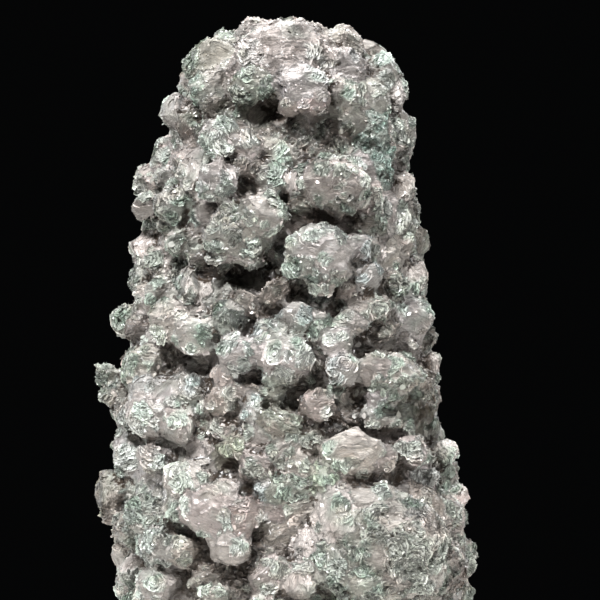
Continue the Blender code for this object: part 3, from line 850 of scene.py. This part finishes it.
def nodules(lumps, rng):
    """Small swellings on the lumps, so that none is a smooth ball."""
    made = []
    for middle, radii, axes in lumps:
        mean = sum(radii) / 3
        for _ in range(int(NODULES_PER_RADIUS * mean)):
            way = way_to(rng.uniform(0, 2 * math.pi), math.acos(rng.uniform(-0.1, 1)))
            size = rng.uniform(*NODULE_SIZE) * mean
            offset = axes @ Vector(w * r for w, r in zip(way, radii)) * (1.0 - NODULE_SUNK * size / mean)
            made.append((middle + offset, Vector((size, size, size)), axes))
    return made


SHADE_CELL = 0.7  # points in one cell of this size share a value
SHADE_RAYS = 12
SHADE_START = 0.7  # the rays start this far out
SHADE_REACH = 9.0
SHADE_FADE = 0.6  # how much less the furthest hit counts than the nearest
HOLLOW_SHADE = 0.3  # how much more painted shade the hollows of the show side get
HOLLOW_DEEP = 5.0  # a hollow this deep has it in full


def shade_at(tree, points, normals, rng):
    """How shut in each point is, from 0 in the open to 1 deep in a hollow. Near points share a value."""
    _, first, group = np.unique(np.round(points / SHADE_CELL), axis=0, return_index=True, return_inverse=True)
    ways = unit(rng.normal(size=(SHADE_RAYS, 3)))
    shut = np.zeros(len(first))
    for i, k in enumerate(first):
        n = normals[k]
        start = Vector(points[k] + n * SHADE_START)
        hits = total = 0.0
        for w in ways:
            lean = w @ n
            way = w if lean > 0 else w - 2 * lean * n
            lean = abs(lean)
            total += lean
            hit = tree.ray_cast(start, Vector(way), SHADE_REACH)
            if hit[0] is not None:
                hits += lean * (1 - SHADE_FADE * hit[3] / SHADE_REACH)
        shut[i] = hits / total
    return shut[group.ravel()]


def paint(mesh, colours, **layers):
    """Writes the colour of each point, and the numbers that its material reads."""
    tint = mesh.color_attributes.new("tint", "FLOAT_COLOR", "POINT")
    rgba = np.ones((len(colours), 4), dtype=np.float32)
    rgba[:, :3] = np.clip(colours, 0, 1)
    tint.data.foreach_set("color", rgba.ravel())
    for name, values in layers.items():
        layer = mesh.attributes.new(name, "FLOAT", "POINT")
        layer.data.foreach_set("value", np.asarray(values, dtype=np.float32))


# --- the crust ---
FINE_VOXEL = 0.46
COARSE_VOXEL = 0.80
BACK_FROM = 5.0  # behind this y the coarse crust does
OVERLAP = 1.2
SHOW_PIECES = 4
GROWN = 0.5  # the lumps are fused this much too large, which closes clefts
INSET = 0.75  # and the crust is then set back this far
SOFTENING = 5  # how often the crust is evened out
SOFTENING_PULL = 0.6  # how far a point goes each time towards the mean of those it is linked to
FINE_FILLING = 75  # and how often more for what its pits are filled up to
COARSE_FILLING = 24
FILL_FROM = 0.3  # a place this deep or deeper is filled up in full

# The crust's relief, in millimetres or as shares of what the skin says.
RINGS_RISE = 1.35
CAP_RISE = 0.45
LEAST_BOOKS = 0.06
LEAST_CRUMPLE = 0.04
RIND_CRUMPLE = 0.2  # the rind has this share of the crumpling that its rosettes have
CREASES = ((0.26, 80), (0.55, 81), (1.3, 82))  # scale and seed of the broad, the middling and the fine
CREASE_SHARES = (0.9, 0.8, 0.5)
LEAST_LIGHT, MOST_LIGHT = 0.35, 1.5  # how far the painted shade in the creases and the painted highlight on the ridges go


def kneaded(points):
    """How far each point is pushed out of the lumps' round shapes."""
    return pushes_at(points, KNEADING)


def softened(points, faces, times):
    """Evens the mass out, so that lumps run into each other and leave no knife-sharp clefts."""
    links = links_of(faces)
    count = np.bincount(links[:, 0], minlength=len(points))[:, None]
    for _ in range(times):
        near = [np.bincount(links[:, 0], points[links[:, 1], k], len(points)) for k in range(3)]
        near = np.stack(near, axis=1)
        points = (1 - SOFTENING_PULL) * points + SOFTENING_PULL * near / np.maximum(count, 1)
    return points


def filled(points, faces, times):
    """Softened, with pits and clefts filled up further, and nothing that stands out worn down."""
    points = softened(points, faces, SOFTENING)
    move = softened(points, faces, times) - points
    depth = (move * normals_of(points, faces)).sum(axis=1)
    return points + move * np.clip(depth / FILL_FROM, 0, 1)[:, None]


class Crust:
    """A stretch of the mass's outside: its smooth shape, its skins, and the relief that they give it."""

    def __init__(self, points, faces, cover, tree, rng):
        self.faces = faces
        self.owner = owner = cover.owners(points)
        points = points + kneaded(points)
        self.base_normals = normals_of(points, faces)
        self.rose = cover.roses(points)
        self.cap = cover.caps(points, owner, self.rose)
        self.ring = cover.rings(points, self.rose)
        self.leaf = cover.leaves(points, owner)
        broad, crease, fine = (creases_at(points, scale, seed) for scale, seed in CREASES)
        crumple = cover.numbers(owner, "crumple") * (RIND_CRUMPLE + (1 - RIND_CRUMPLE) * self.cap)
        crumple = LEAST_CRUMPLE + crumple
        rings = RINGS_RISE * cover.numbers(owner, "rings") * self.cap * (self.ring - np.floor(self.ring) - 0.5)
        books = (LEAST_BOOKS + cover.numbers(owner, "books")) * (1 - self.cap)
        height = rings + books * (self.leaf - np.floor(self.leaf) - 0.5)
        creased = sum(share * c for share, c in zip(CREASE_SHARES, (broad, crease, fine)))
        height += crumple * creased + CAP_RISE * self.cap - INSET
        points = points + self.base_normals * height[:, None]
        points[:, 2] = np.maximum(points[:, 2], 0)
        self.points = points
        # How shut in each point is, which the materials turn into painted shade.
        self.shut = shade_at(tree, points, self.base_normals, rng)
        # Painted shade: the hollows of the show side are darkened further.
        deep = np.array([sunk_at(p[0], p[2]) if p[1] < 0 else 0.0 for p in points])
        self.shut += HOLLOW_SHADE * np.clip(deep / HOLLOW_DEEP, 0, 1) * np.clip(2 * self.shut, 0, 1)
        self.grit = np.clip(1.8 * crumple, 0, 1)  # how much the material crumples it further
        self.books = np.clip(0.5 + 2 * books, 0, 1) * (1 - self.cap)  # and how much it draws plates on edge
        self.colours = self.coloured(cover, crease, fine, crumple)
        self.gloss = np.clip(cover.numbers(owner, "gloss") - 0.15 + 0.15 * fine, 0, 1)

    def coloured(self, cover, crease, fine, crumple):
        """The skins' colours with blotches across them, with painted shade in the creases and painted highlight
        on the ridges.
        """
        points, owner = self.points, self.owner
        cap = self.cap[:, None]
        rosy = cover.colours(owner, "cap") * cover.rose_tone[self.rose]
        colour = cover.colours(owner, "flank") * (1 - cap) + rosy * cap
        for other, scale, line, share, seed in BLOTCHES:
            wave = noise_at(points, scale, seed) + 0.7 * noise_at(points, 2.6 * scale, seed + 1)
            amount = np.clip((wave - line) * 1.6, 0, 1)[:, None] * share * (0.5 + 0.5 * cap)
            colour = colour * (1 - amount) + linear(other) * amount
        # painted light: the creases that shape the relief darken the colour in their troughs and lighten it on
        # their ridges
        light = 1 + (0.1 + 0.7 * crumple) * (0.5 * crease + 0.6 * fine)
        return colour * np.clip(light, LEAST_LIGHT, MOST_LIGHT)[:, None]

    def piece(self, name, keep):
        """An object of the faces to keep."""
        points, faces, used = only(self.points, self.faces[keep])
        mesh = triangle_mesh(name, points, faces)
        names = ("shut", "gloss", "cap", "ring", "leaf", "books", "grit")
        paint(mesh, self.colours[used], **{n: getattr(self, n)[used] for n in names})
        return new_object(name, mesh)

    def heights(self):
        return self.points[self.faces].mean(axis=1)[:, 2]


# --- rims, plates and grains ---
PLATE_CORNERS, PLATE_CUP, PLATE_RAGGED = 7, 0.12, 0.28
EDGE_SUNK = 0.6  # how deep the middle of a plate on edge lies, as a share of its radius
GRAIN_CORNERS, GRAIN_CUP, GRAIN_RAGGED = 4, -0.45, 0.25
GRAIN_REACH = (0.16, 0.45)
LOWEST = 0.02  # thin pieces stay this far above the ground
RIMS_PER_AREA = 0.40  # on a square millimetre of rosette
RIM_POINTS = 8  # along a rim
RIM_LENGTH = (1.5, 5.0)
RIM_TIGHTEST = 1.2  # no rim bends about less than this radius
RIM_ON_STEP = 0.9  # where on its step a rim stands: close to the high edge
RIM_LIFT = (0.08, 0.45)  # how far a rim's lip stands above the crust
RIM_SUNK = 0.30  # how deep its root lies under the crust
RIM_OUT = 0.35  # how far the lip leans out, and the root lies back
RIM_REACH = 1.6  # a rim's points lie no further than this from where they are first put
RIM_SHADE = (0.50, 1.28)  # lightness of the root, painted shade under the lip, and of the lip, the plates' paler edge with a painted highlight


def scatter(crust, density, rng):
    """Random places on the crust, so many per square millimetre, their outward normals and points near them."""
    a, b, c = (crust.points[crust.faces[:, k]] for k in range(3))
    area = np.linalg.norm(np.cross(b - a, c - a), axis=1) / 2
    count = rng.poisson(area * density)
    at = np.repeat(np.arange(len(crust.faces)), count)
    u, v = rng.random(len(at)), rng.random(len(at))
    over = u + v > 1
    u[over], v[over] = 1 - u[over], 1 - v[over]
    place = a[at] + u[:, None] * (b - a)[at] + v[:, None] * (c - a)[at]
    near = crust.faces[at, 0]
    return place, crust.base_normals[near], near


def laid_on(tree, points):
    """The crust's nearest place to each point, how far it was, and the face it is on."""
    found = [tree.find_nearest(Vector(p)) for p in points]
    place = np.array([f[0][:] for f in found])
    return place, np.array([f[3] for f in found]), np.array([f[2] for f in found])


def strewn(name, points, faces, colours, shut, gloss):
    """An object of thin pieces."""
    points[:, 2] = np.maximum(points[:, 2], LOWEST)
    mesh = triangle_mesh(name, points, faces)
    paint(mesh, colours, shut=shut, gloss=gloss)
    return new_object(name, mesh)


def rim_paths(crust, density, cover, rng):
    """The lines on the crust that rims follow, nested about rosettes' hubs or side by side on plates on edge.

    For each of their points, RIM_POINTS to a line: its place, the way out of the rosette or across the plates,
    the crust's face under it, whether its rim is a rosette's, and whether it is kept.
    """
    place, _, near = scatter(crust, density, rng)
    n, owner, rose = len(place), crust.owner[near], crust.rose[near]
    nested = crust.cap[near] > 0.5
    pole = np.where(nested[:, None], cover.rose_axis[rose], cover.books[owner])
    away = place - np.where(nested[:, None], cover.rose_hub[rose], cover.middles[owner])
    hub = place - without(away, pole)
    spoke = place - hub
    reach = np.linalg.norm(spoke, axis=1, keepdims=True)
    other = np.cross(pole, spoke)
    length = rng.uniform(*RIM_LENGTH, (n, 1)) * rng.uniform(0.3, 1, (n, 1))
    turn = np.linspace(-0.5, 0.5, RIM_POINTS)[None, :] * length / np.maximum(reach, RIM_TIGHTEST)
    path = hub[:, None] + np.cos(turn)[:, :, None] * spoke[:, None] + np.sin(turn)[:, :, None] * other[:, None]
    path = path.reshape(-1, 3)
    owner, nested, rose = (np.repeat(v, RIM_POINTS) for v in (owner, nested, rose))
    pole = np.repeat(pole, RIM_POINTS, axis=0)
    run = np.where(nested, crust.ring[np.repeat(near, RIM_POINTS)], crust.leaf[np.repeat(near, RIM_POINTS)])
    wanted = np.floor(run) + RIM_ON_STEP
    tree = tree_of(crust.points, crust.faces)
    path, far, face = laid_on(tree, path)
    close = far < RIM_REACH
    normal = crust.base_normals[crust.faces[face, 0]]
    away = np.where(nested[:, None], path - cover.rose_hub[rose], pole)
    out = unit(without(away, normal))
    short_of_ring = (wanted - cover.rings(path, rose)) * RING_STEP
    short = np.where(nested, short_of_ring, (wanted - cover.leaves(path, owner)) * LEAF_STEP)
    close &= np.abs(short) < RIM_REACH
    path, _, face = laid_on(tree, path + out * np.clip(short, -RIM_REACH, RIM_REACH)[:, None])
    close &= crust.owner[crust.faces[face, 0]] == owner
    return path, out, face, nested, close


def make_rims(name, crust, density, cover, rng):
    """Wavy rims of mica plates standing out of the crust: ribbons with a sunk root and a lip that leans out."""
    path, out, face, nested, close = rim_paths(crust, density, cover, rng)
    n = len(path) // RIM_POINTS
    normal = crust.base_normals[crust.faces[face, 0]]
    bow = np.tile(np.sin(np.linspace(0.12, math.pi - 0.12, RIM_POINTS)) ** 0.6, n)  # lower at both ends
    lift = np.repeat(rng.uniform(*RIM_LIFT, n), RIM_POINTS) * bow * rng.uniform(0.7, 1.2, len(path))
    lift *= np.where(nested, 1.0, 0.6)
    root = path - normal * RIM_SUNK - out * RIM_OUT
    lip = path + normal * lift[:, None] + out * (RIM_OUT * bow * rng.uniform(0.6, 1.1, len(path)))[:, None]
    first = np.arange(n * RIM_POINTS).reshape(n, RIM_POINTS)[:, :-1].ravel()
    first = first[close[first] & close[first + 1]]
    up = first + len(path)
    halves = (first, first + 1, up + 1), (first, up + 1, up)
    faces = np.concatenate([np.stack(corners, axis=1) for corners in halves])
    points, faces, used = only(np.concatenate([root, lip]), faces)
    of_path = used % len(path)
    at = crust.faces[face, 0][of_path]
    # painted shade at each rim's root, and a painted highlight with the plates' paler edge along its lip
    painted_rim_light = np.where(used < len(path), *RIM_SHADE) * np.repeat(rng.uniform(0.8, 1.2, n), RIM_POINTS)[of_path]
    colour = crust.colours[at] * painted_rim_light[:, None]
    return strewn(name, points, faces, colour, crust.shut[at], np.full(len(at), 0.75))


def discs(middle, normal, along, reach, rim, rng, cup, ragged):
    """Thin ragged plates with rim corners each, longest one way: points, faces and the plate of each point."""
    n = len(middle)
    other = unit(np.cross(normal, along))
    side = np.cross(other, normal)
    step = (np.arange(rim) + rng.uniform(-0.3, 0.3, (n, rim))) * 2 * math.pi / rim
    stretch = rng.uniform(0.55, 1.0, (n, 1))
    spread = reach[:, None] * (1 + ragged * rng.uniform(-1, 1, (n, rim)))
    x, y = np.cos(step) * spread, np.sin(step) * spread * stretch
    bend = -cup * (spread**2) / np.maximum(reach[:, None], 1e-6)
    bend = bend + rng.uniform(-0.08, 0.08, (n, rim)) * reach[:, None]
    rims = middle[:, None]
    for far, way in ((x, side), (y, other), (bend, normal)):
        rims = rims + far[:, :, None] * way[:, None]
    points = np.concatenate([middle[:, None], rims], axis=1).reshape(-1, 3)
    first = (np.arange(n) * (rim + 1))[:, None]
    k = np.arange(rim)[None, :]
    faces = np.stack([np.broadcast_to(first, (n, rim)), first + 1 + k, first + 1 + (k + 1) % rim], axis=2)
    return points, faces.reshape(-1, 3), np.repeat(np.arange(n), rim + 1)


def make_plates(name, crust, density, cover, rng):
    """Loose mica plates: half sunk and tilted like petals about a rosette's middle, or on edge in books."""
    place, normal, near = scatter(crust, density, rng)
    owner = crust.owner[near]
    low, high = cover.numbers(owner, "size"), cover.numbers(owner, "size", 1)
    tilt = np.radians(cover.numbers(owner, "tilt"))
    n = len(place)
    reach = low + (high - low) * rng.random(n) ** 1.8  # most are small
    out = unit(place - cover.rose_at[crust.rose[near]])
    out = unit(out + 0.4 * rng.normal(size=(n, 3)))
    out = unit(without(out, normal))
    lift = tilt * rng.uniform(0.5, 1.6, n)
    face = unit(normal * np.cos(lift)[:, None] - out * np.sin(lift)[:, None])
    middle = place + normal * (0.08 + 0.15 * np.sin(lift) * reach)[:, None]
    along = unit(np.cross(normal, out) + 0.8 * rng.normal(size=(n, 3)))
    edge = rng.random(n) < cover.numbers(owner, "on_edge")
    stand = unit(cover.books[owner] + 0.16 * rng.normal(size=(n, 3)))
    stand = unit(without(stand, normal) + 0.35 * normal * (stand * normal).sum(axis=1, keepdims=True))
    face[edge] = stand[edge]
    middle[edge] = place[edge] - normal[edge] * (EDGE_SUNK * reach[edge])[:, None]
    keep = middle[:, 2] - reach > -0.2
    near, owner, face, middle, reach, along = (v[keep] for v in (near, owner, face, middle, reach, along))
    points, faces, plate = discs(middle, face, along, reach, PLATE_CORNERS, rng, PLATE_CUP, PLATE_RAGGED)
    n = len(near)
    colour = crust.colours[near] * rng.uniform(0.72, 1.25, (n, 1)) * (1 + rng.normal(0, 0.012, (n, 3)))
    shine = np.clip(cover.numbers(owner, "gloss") + rng.normal(0, 0.25, n), 0, 1)
    return strewn(name, points, faces, colour[plate], crust.shut[near][plate], shine[plate])


def make_grains(name, crust, density, rng):
    """Grains of crust: small chips that stand every way."""
    place, normal, near = scatter(crust, density, rng)
    n = len(place)
    reach = rng.uniform(*GRAIN_REACH, n)
    face = unit(normal * 0.5 + rng.normal(size=(n, 3)))
    middle = place + normal * (reach * rng.uniform(0.0, 0.6, n))[:, None]
    along = rng.normal(size=(n, 3))
    points, faces, chip = discs(middle, face, along, reach, GRAIN_CORNERS, rng, GRAIN_CUP, GRAIN_RAGGED)
    colour = crust.colours[near] * rng.uniform(0.5, 1.35, (n, 1))
    return strewn(name, points, faces, colour[chip], crust.shut[near][chip], np.full(len(chip), 0.4))


# --- materials ---
# The colour of soil specks, and of the painted shade that darkens the places where points are shut in.
SOIL_AND_SHADE = (63, 51, 40)
MICA_LOOK = {
    "Sheen Weight": 0.15,
    "Sheen Roughness": 0.4,
    "IOR": 1.58,
    "Coat Weight": 0.32,
    "Coat Roughness": 0.2,
}
# Steps drawn on the rings of rosettes and on plates on edge: how many to each of the mesh's own steps, how
# strong the painted highlight on their rims and the painted shade in their gaps are, and how deep they are in
# the bump.
RING_LOOKS = ((1.0, 0.85, 1.0), (2.6, 0.70, 0.5))
LEAF_LOOKS = ((1.0, 0.15, 0.4), (3.0, 0.38, 0.5))
STEP_RIM = (0.60, 0.92)  # where on a step its painted highlight along the rim begins and is whole
STEP_GAP = 0.30  # how far the painted shade in the gap reaches
FOIL_MEAN = 0.6  # the value of the foil's ridged noise that leaves the colour as it is
# how strong the painted highlight on the foil's ridges and the painted shade in its troughs are, at full grit
FOIL_SHADE = 0.65
FOIL_DEEP = 0.7
GRAIN_DEEP = 0.4
ROUGHEST, SMOOTHEST = 0.60, 0.16  # the roughness without gloss and with all of it


class Nodes:
    """Short hand for wiring up a material."""

    def __init__(self, name):
        self.material = bpy.data.materials.new(name)
        self.material.use_nodes = True
        self.tree = self.material.node_tree
        self.shader = self.tree.nodes["Principled BSDF"]
        self.place = self.new("ShaderNodeTexCoord").outputs["Object"]

    def new(self, kind, **settings):
        node = self.tree.nodes.new(kind)
        for key, value in settings.items():
            setattr(node, key, value)
        return node

    def put(self, node, inputs):
        """Gives the node's inputs, by name or number, a value or another node's result."""
        for key, value in inputs.items():
            if isinstance(value, bpy.types.NodeSocket):
                self.tree.links.new(value, node.inputs[key])
            else:
                node.inputs[key].default_value = value
        return node

    def noise(self, scale, detail=3.0, rough=0.6, kind="FBM"):
        node = self.new("ShaderNodeTexNoise", noise_type=kind)
        inputs = {"Scale": scale, "Detail": detail, "Roughness": rough, "Vector": self.place}
        return self.put(node, inputs).outputs["Fac"]

    def number(self, name, output="Fac"):
        """What the mesh holds under a name."""
        return self.new("ShaderNodeAttribute", attribute_name=name).outputs[output]

    def sum(self, how, *terms, **settings):
        """A Math node's result."""
        node = self.new("ShaderNodeMath", operation=how, **settings)
        return self.put(node, dict(enumerate(terms))).outputs[0]

    def ranged(self, value, low, high, to_low, to_high):
        inputs = {"Value": value, "From Min": low, "From Max": high, "To Min": to_low, "To Max": to_high}
        return self.put(self.new("ShaderNodeMapRange"), inputs).outputs["Result"]

    def mixed(self, factor, one, two, how="MIX"):
        node = self.new("ShaderNodeMix", data_type="RGBA", blend_type=how)
        return self.put(node, {0: factor, 6: one, 7: two}).outputs[2]

    def shaded(self, colour, factor):
        """The colour times a factor."""
        grey = self.put(self.new("ShaderNodeCombineColor"), dict.fromkeys(range(3), factor)).outputs[0]
        return self.mixed(1.0, colour, grey, "MULTIPLY")


def step_light(n, step, share, strength):
    """A factor that paints a highlight along a step's rim and shade in the gap under the next, by share."""
    bright = n.sum("MULTIPLY", n.ranged(step, *STEP_RIM, 0.0, 1.0), strength)
    dark = n.sum("MULTIPLY", n.ranged(step, 0.0, STEP_GAP, 1.0, 0.0), strength)
    return n.sum("MULTIPLY_ADD", n.sum("SUBTRACT", bright, dark), share, 1.0)


def mica(name, layered, depth, shade_and_soil_share):
    """Mica: the piece's own tints, stepped and crumpled if layered, and darkened with painted shade and soil in
    the hollows.

    depth is the bump's, in millimetres, and shade_and_soil_share is how much painted shade and soil lie where
    it is most shut in.
    """
    n = Nodes(name)
    mottle = n.ranged(n.noise(600, 5.0, 0.75), 0.3, 0.7, 0.72, 1.28)
    colour = n.shaded(n.number("tint", "Color"), mottle)
    height = n.sum("MULTIPLY", n.noise(2400, 2.0, 0.5), GRAIN_DEEP)
    if layered:
        jagged = n.noise(700, 3.0, 0.6)
        for run, part, looks in (("ring", "cap", RING_LOOKS), ("leaf", "books", LEAF_LOOKS)):
            share = n.number(part)
            for times, strength, deep in looks:
                step = n.sum("FRACT", n.sum("ADD", n.sum("MULTIPLY", n.number(run), times), jagged))
                colour = n.shaded(colour, step_light(n, step, share, strength))
                height = n.sum("MULTIPLY_ADD", n.sum("MULTIPLY", step, share), deep, height)
        foil, grit = n.noise(800, 3.0, 0.7, "RIDGED_MULTIFRACTAL"), n.number("grit")
        # painted light: lighter where the foil's bump rises, darker where it sinks
        strength = n.sum("MULTIPLY", grit, FOIL_SHADE)
        wrinkle = n.sum("MULTIPLY_ADD", n.sum("SUBTRACT", foil, FOIL_MEAN), strength, 1.0)
        colour = n.shaded(colour, wrinkle)
        height = n.sum("MULTIPLY_ADD", n.sum("MULTIPLY", foil, grit), FOIL_DEEP, height)
    # painted shade, brown like soil, where the points are shut in, and soil specks all over
    hollows = n.ranged(n.number("shut"), 0.30, 0.85, 0.0, shade_and_soil_share)
    specks = n.ranged(n.noise(300, 4.0, 0.6), 0.45, 0.75, 0.0, 0.25)
    shaded_and_soiled = n.mixed(n.sum("ADD", hollows, specks, use_clamp=True), colour, (*linear(SOIL_AND_SHADE), 1.0))
    bump = n.put(n.new("ShaderNodeBump"), {"Strength": 1.0, "Distance": depth * MM, "Height": height})
    roughness = n.ranged(n.number("gloss"), 0.0, 1.0, ROUGHEST, SMOOTHEST)
    inputs = {"Base Color": shaded_and_soiled, "Roughness": roughness, "Normal": bump.outputs["Normal"]}
    n.put(n.shader, {**inputs, **MICA_LOOK})
    return n.material


def plain(name, colour, roughness):
    """An even colour, very slightly mottled."""
    n = Nodes(name)
    shade = n.shaded((*linear(colour), 1.0), n.ranged(n.noise(40, 3.0, 0.5), 0.3, 0.7, 0.97, 1.02))
    n.put(n.shader, {"Base Color": shade, "Roughness": roughness})
    return n.material


def smooth(obj, material):
    obj.data.materials.clear()
    obj.data.materials.append(material)
    obj.data.shade_smooth()
    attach(obj, BODY)


# --- the floor, the lights and the camera ---
CAMERA_AWAY = 1.5
SENSOR = 36
FIELD = 0.150  # width of what the camera sees at the specimen's middle
LOOK_AT = (3.75, 0.0, 88.75)
CENTRED = (-0.000648, -0.000901, 0.0)  # the solid's own move to the middle of its box
FLOOR_RADIUS = 0.22
FLOOR_SUNK = 0.00005  # keeps it clear of the standing face
SKY, SKY_STRENGTH = (0.8, 0.85, 0.9, 1), 0.002
LIGHTS_AT = (0, 0, 0.08)
LIGHTS = {  # place, width and watts
    "key": ((-0.32, -0.90, 0.92), 0.22, 27.8),
    "fill": ((0.90, -0.75, 0.55), 0.4, 7),
    "top": ((0.0, 0.25, 0.95), 0.4, 9),
    "back": ((0.6, 0.9, 0.5), 0.5, 5),
    "back_left": ((-0.9, 0.45, 0.4), 0.4, 4),
}


def aimed(obj, at):
    way = Vector(at) - obj.location
    obj.rotation_euler = way.to_track_quat("-Z", "Y").to_euler()


def area_light(name, place, width, power):
    light = bpy.data.lights.new(name, "AREA")
    light.shape = "RECTANGLE"
    light.size = light.size_y = width
    light.energy = power
    obj = new_object(name, light)
    obj.location = place
    aimed(obj, LIGHTS_AT)


def make_studio():
    shape = bmesh.new()
    bmesh.ops.create_circle(shape, cap_ends=True, segments=96, radius=FLOOR_RADIUS)
    mesh = bpy.data.meshes.new("floor")
    shape.to_mesh(mesh)
    shape.free()
    floor = new_object("floor", mesh)
    floor.location = (0, 0, -FLOOR_SUNK)
    floor.data.materials.append(plain("pale_floor", (226, 224, 220), 0.8))
    for name, light in LIGHTS.items():
        area_light(name, *light)
    world = bpy.data.worlds.new("studio")
    world.use_nodes = True
    background = world.node_tree.nodes["Background"]
    background.inputs["Color"].default_value = SKY
    background.inputs["Strength"].default_value = SKY_STRENGTH
    bpy.context.scene.world = world
    bpy.context.scene.view_settings.view_transform = "Standard"
    camera = new_object("camera", bpy.data.cameras.new("camera"))
    target = Vector(LOOK_AT) * MM + Vector(CENTRED)
    camera.location = target + Vector((0, -CAMERA_AWAY, 0))
    camera.data.sensor_width = SENSOR
    camera.data.lens = SENSOR * CAMERA_AWAY / FIELD
    camera.data.clip_end = 20
    aimed(camera, target)
    bpy.context.scene.camera = camera


def made_crusts():
    """The fine crust of the show side and the coarse one behind it, with what says which lump is where."""
    rng = random.Random(SEED)
    shown, skins = show_side_lumps()
    thrown = dart_lumps(shown, rng)
    foot = foot_lumps(rng)
    lumps = shown + thrown + foot + [lump_of(row) for row in BRIDGES]
    lobes = [part for lump in lumps for part in lobed(lump, rng)]
    more = random.Random(SEED + 1)
    wild = np.random.default_rng(SEED)
    skins += skins_of_darts(thrown + foot, more) + [row[-1] for row in BRIDGES]
    cover = Cover(lumps, skins, wild)
    parts = lobes + nodules(lumps, more)
    points, faces = fused(parts, COARSE_VOXEL)
    points = filled(points, faces, COARSE_FILLING)
    tree = tree_of(points + kneaded(points) - GROWN * normals_of(points, faces), faces)
    behind = points[faces].mean(axis=1)[:, 1] > BACK_FROM
    back = Crust(*only(points, faces[behind])[:2], cover, tree, wild)
    points, faces = fused(parts, FINE_VOXEL)
    points = filled(points, faces, FINE_FILLING)
    ahead = points[faces].mean(axis=1)[:, 1] < BACK_FROM + OVERLAP
    front = Crust(*only(points, faces[ahead])[:2], cover, tree, wild)
    return front, back, cover, wild


def main():
    front, back, cover, wild = made_crusts()
    pieces = []
    ground = mica("mica_ground", layered=True, depth=0.55, shade_and_soil_share=0.95)
    heights = front.heights()
    levels = np.quantile(heights, np.linspace(0, 1, SHOW_PIECES + 1))
    for k in range(SHOW_PIECES):
        between = (heights > levels[k]) & (heights <= levels[k + 1])
        pieces.append((front.piece(f"crust_show_{k + 1}", between), ground))
    pieces.append((back.piece("crust_back", back.heights() > -1), ground))
    leaf = mica("mica_leaf", layered=False, depth=0.1, shade_and_soil_share=0.6)
    for name, crust, share in (("show", front, 1.0), ("back", back, 0.6)):
        corner = crust.faces[:, 0]
        owner = crust.owner[corner]
        facing = -crust.base_normals[corner, 1]  # towards the camera
        share = share * (1.3 - crust.shut[corner]) * np.clip(0.7 + facing, 0.5, 1.2)
        plates = make_plates(f"plates_{name}", crust, cover.numbers(owner, "plates") * share, cover, wild)
        pieces.append((plates, leaf))
        grains = make_grains(f"grains_{name}", crust, cover.numbers(owner, "grains") * share, wild)
        pieces.append((grains, leaf))
        on_cap = share * (0.10 + 0.90 * np.maximum(crust.cap[corner], 1.6 * cover.numbers(owner, "books")))
        pieces.append((make_rims(f"rims_{name}", crust, RIMS_PER_AREA * on_cap, cover, wild), leaf))
    for obj, material in pieces:
        moved = points_of(obj.data) * MM + np.array(CENTRED)
        obj.data.vertices.foreach_set("co", moved.astype(np.float32).ravel())
        obj.data.update()
        smooth(obj, material)
    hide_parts(NODE)
    make_studio()


main()
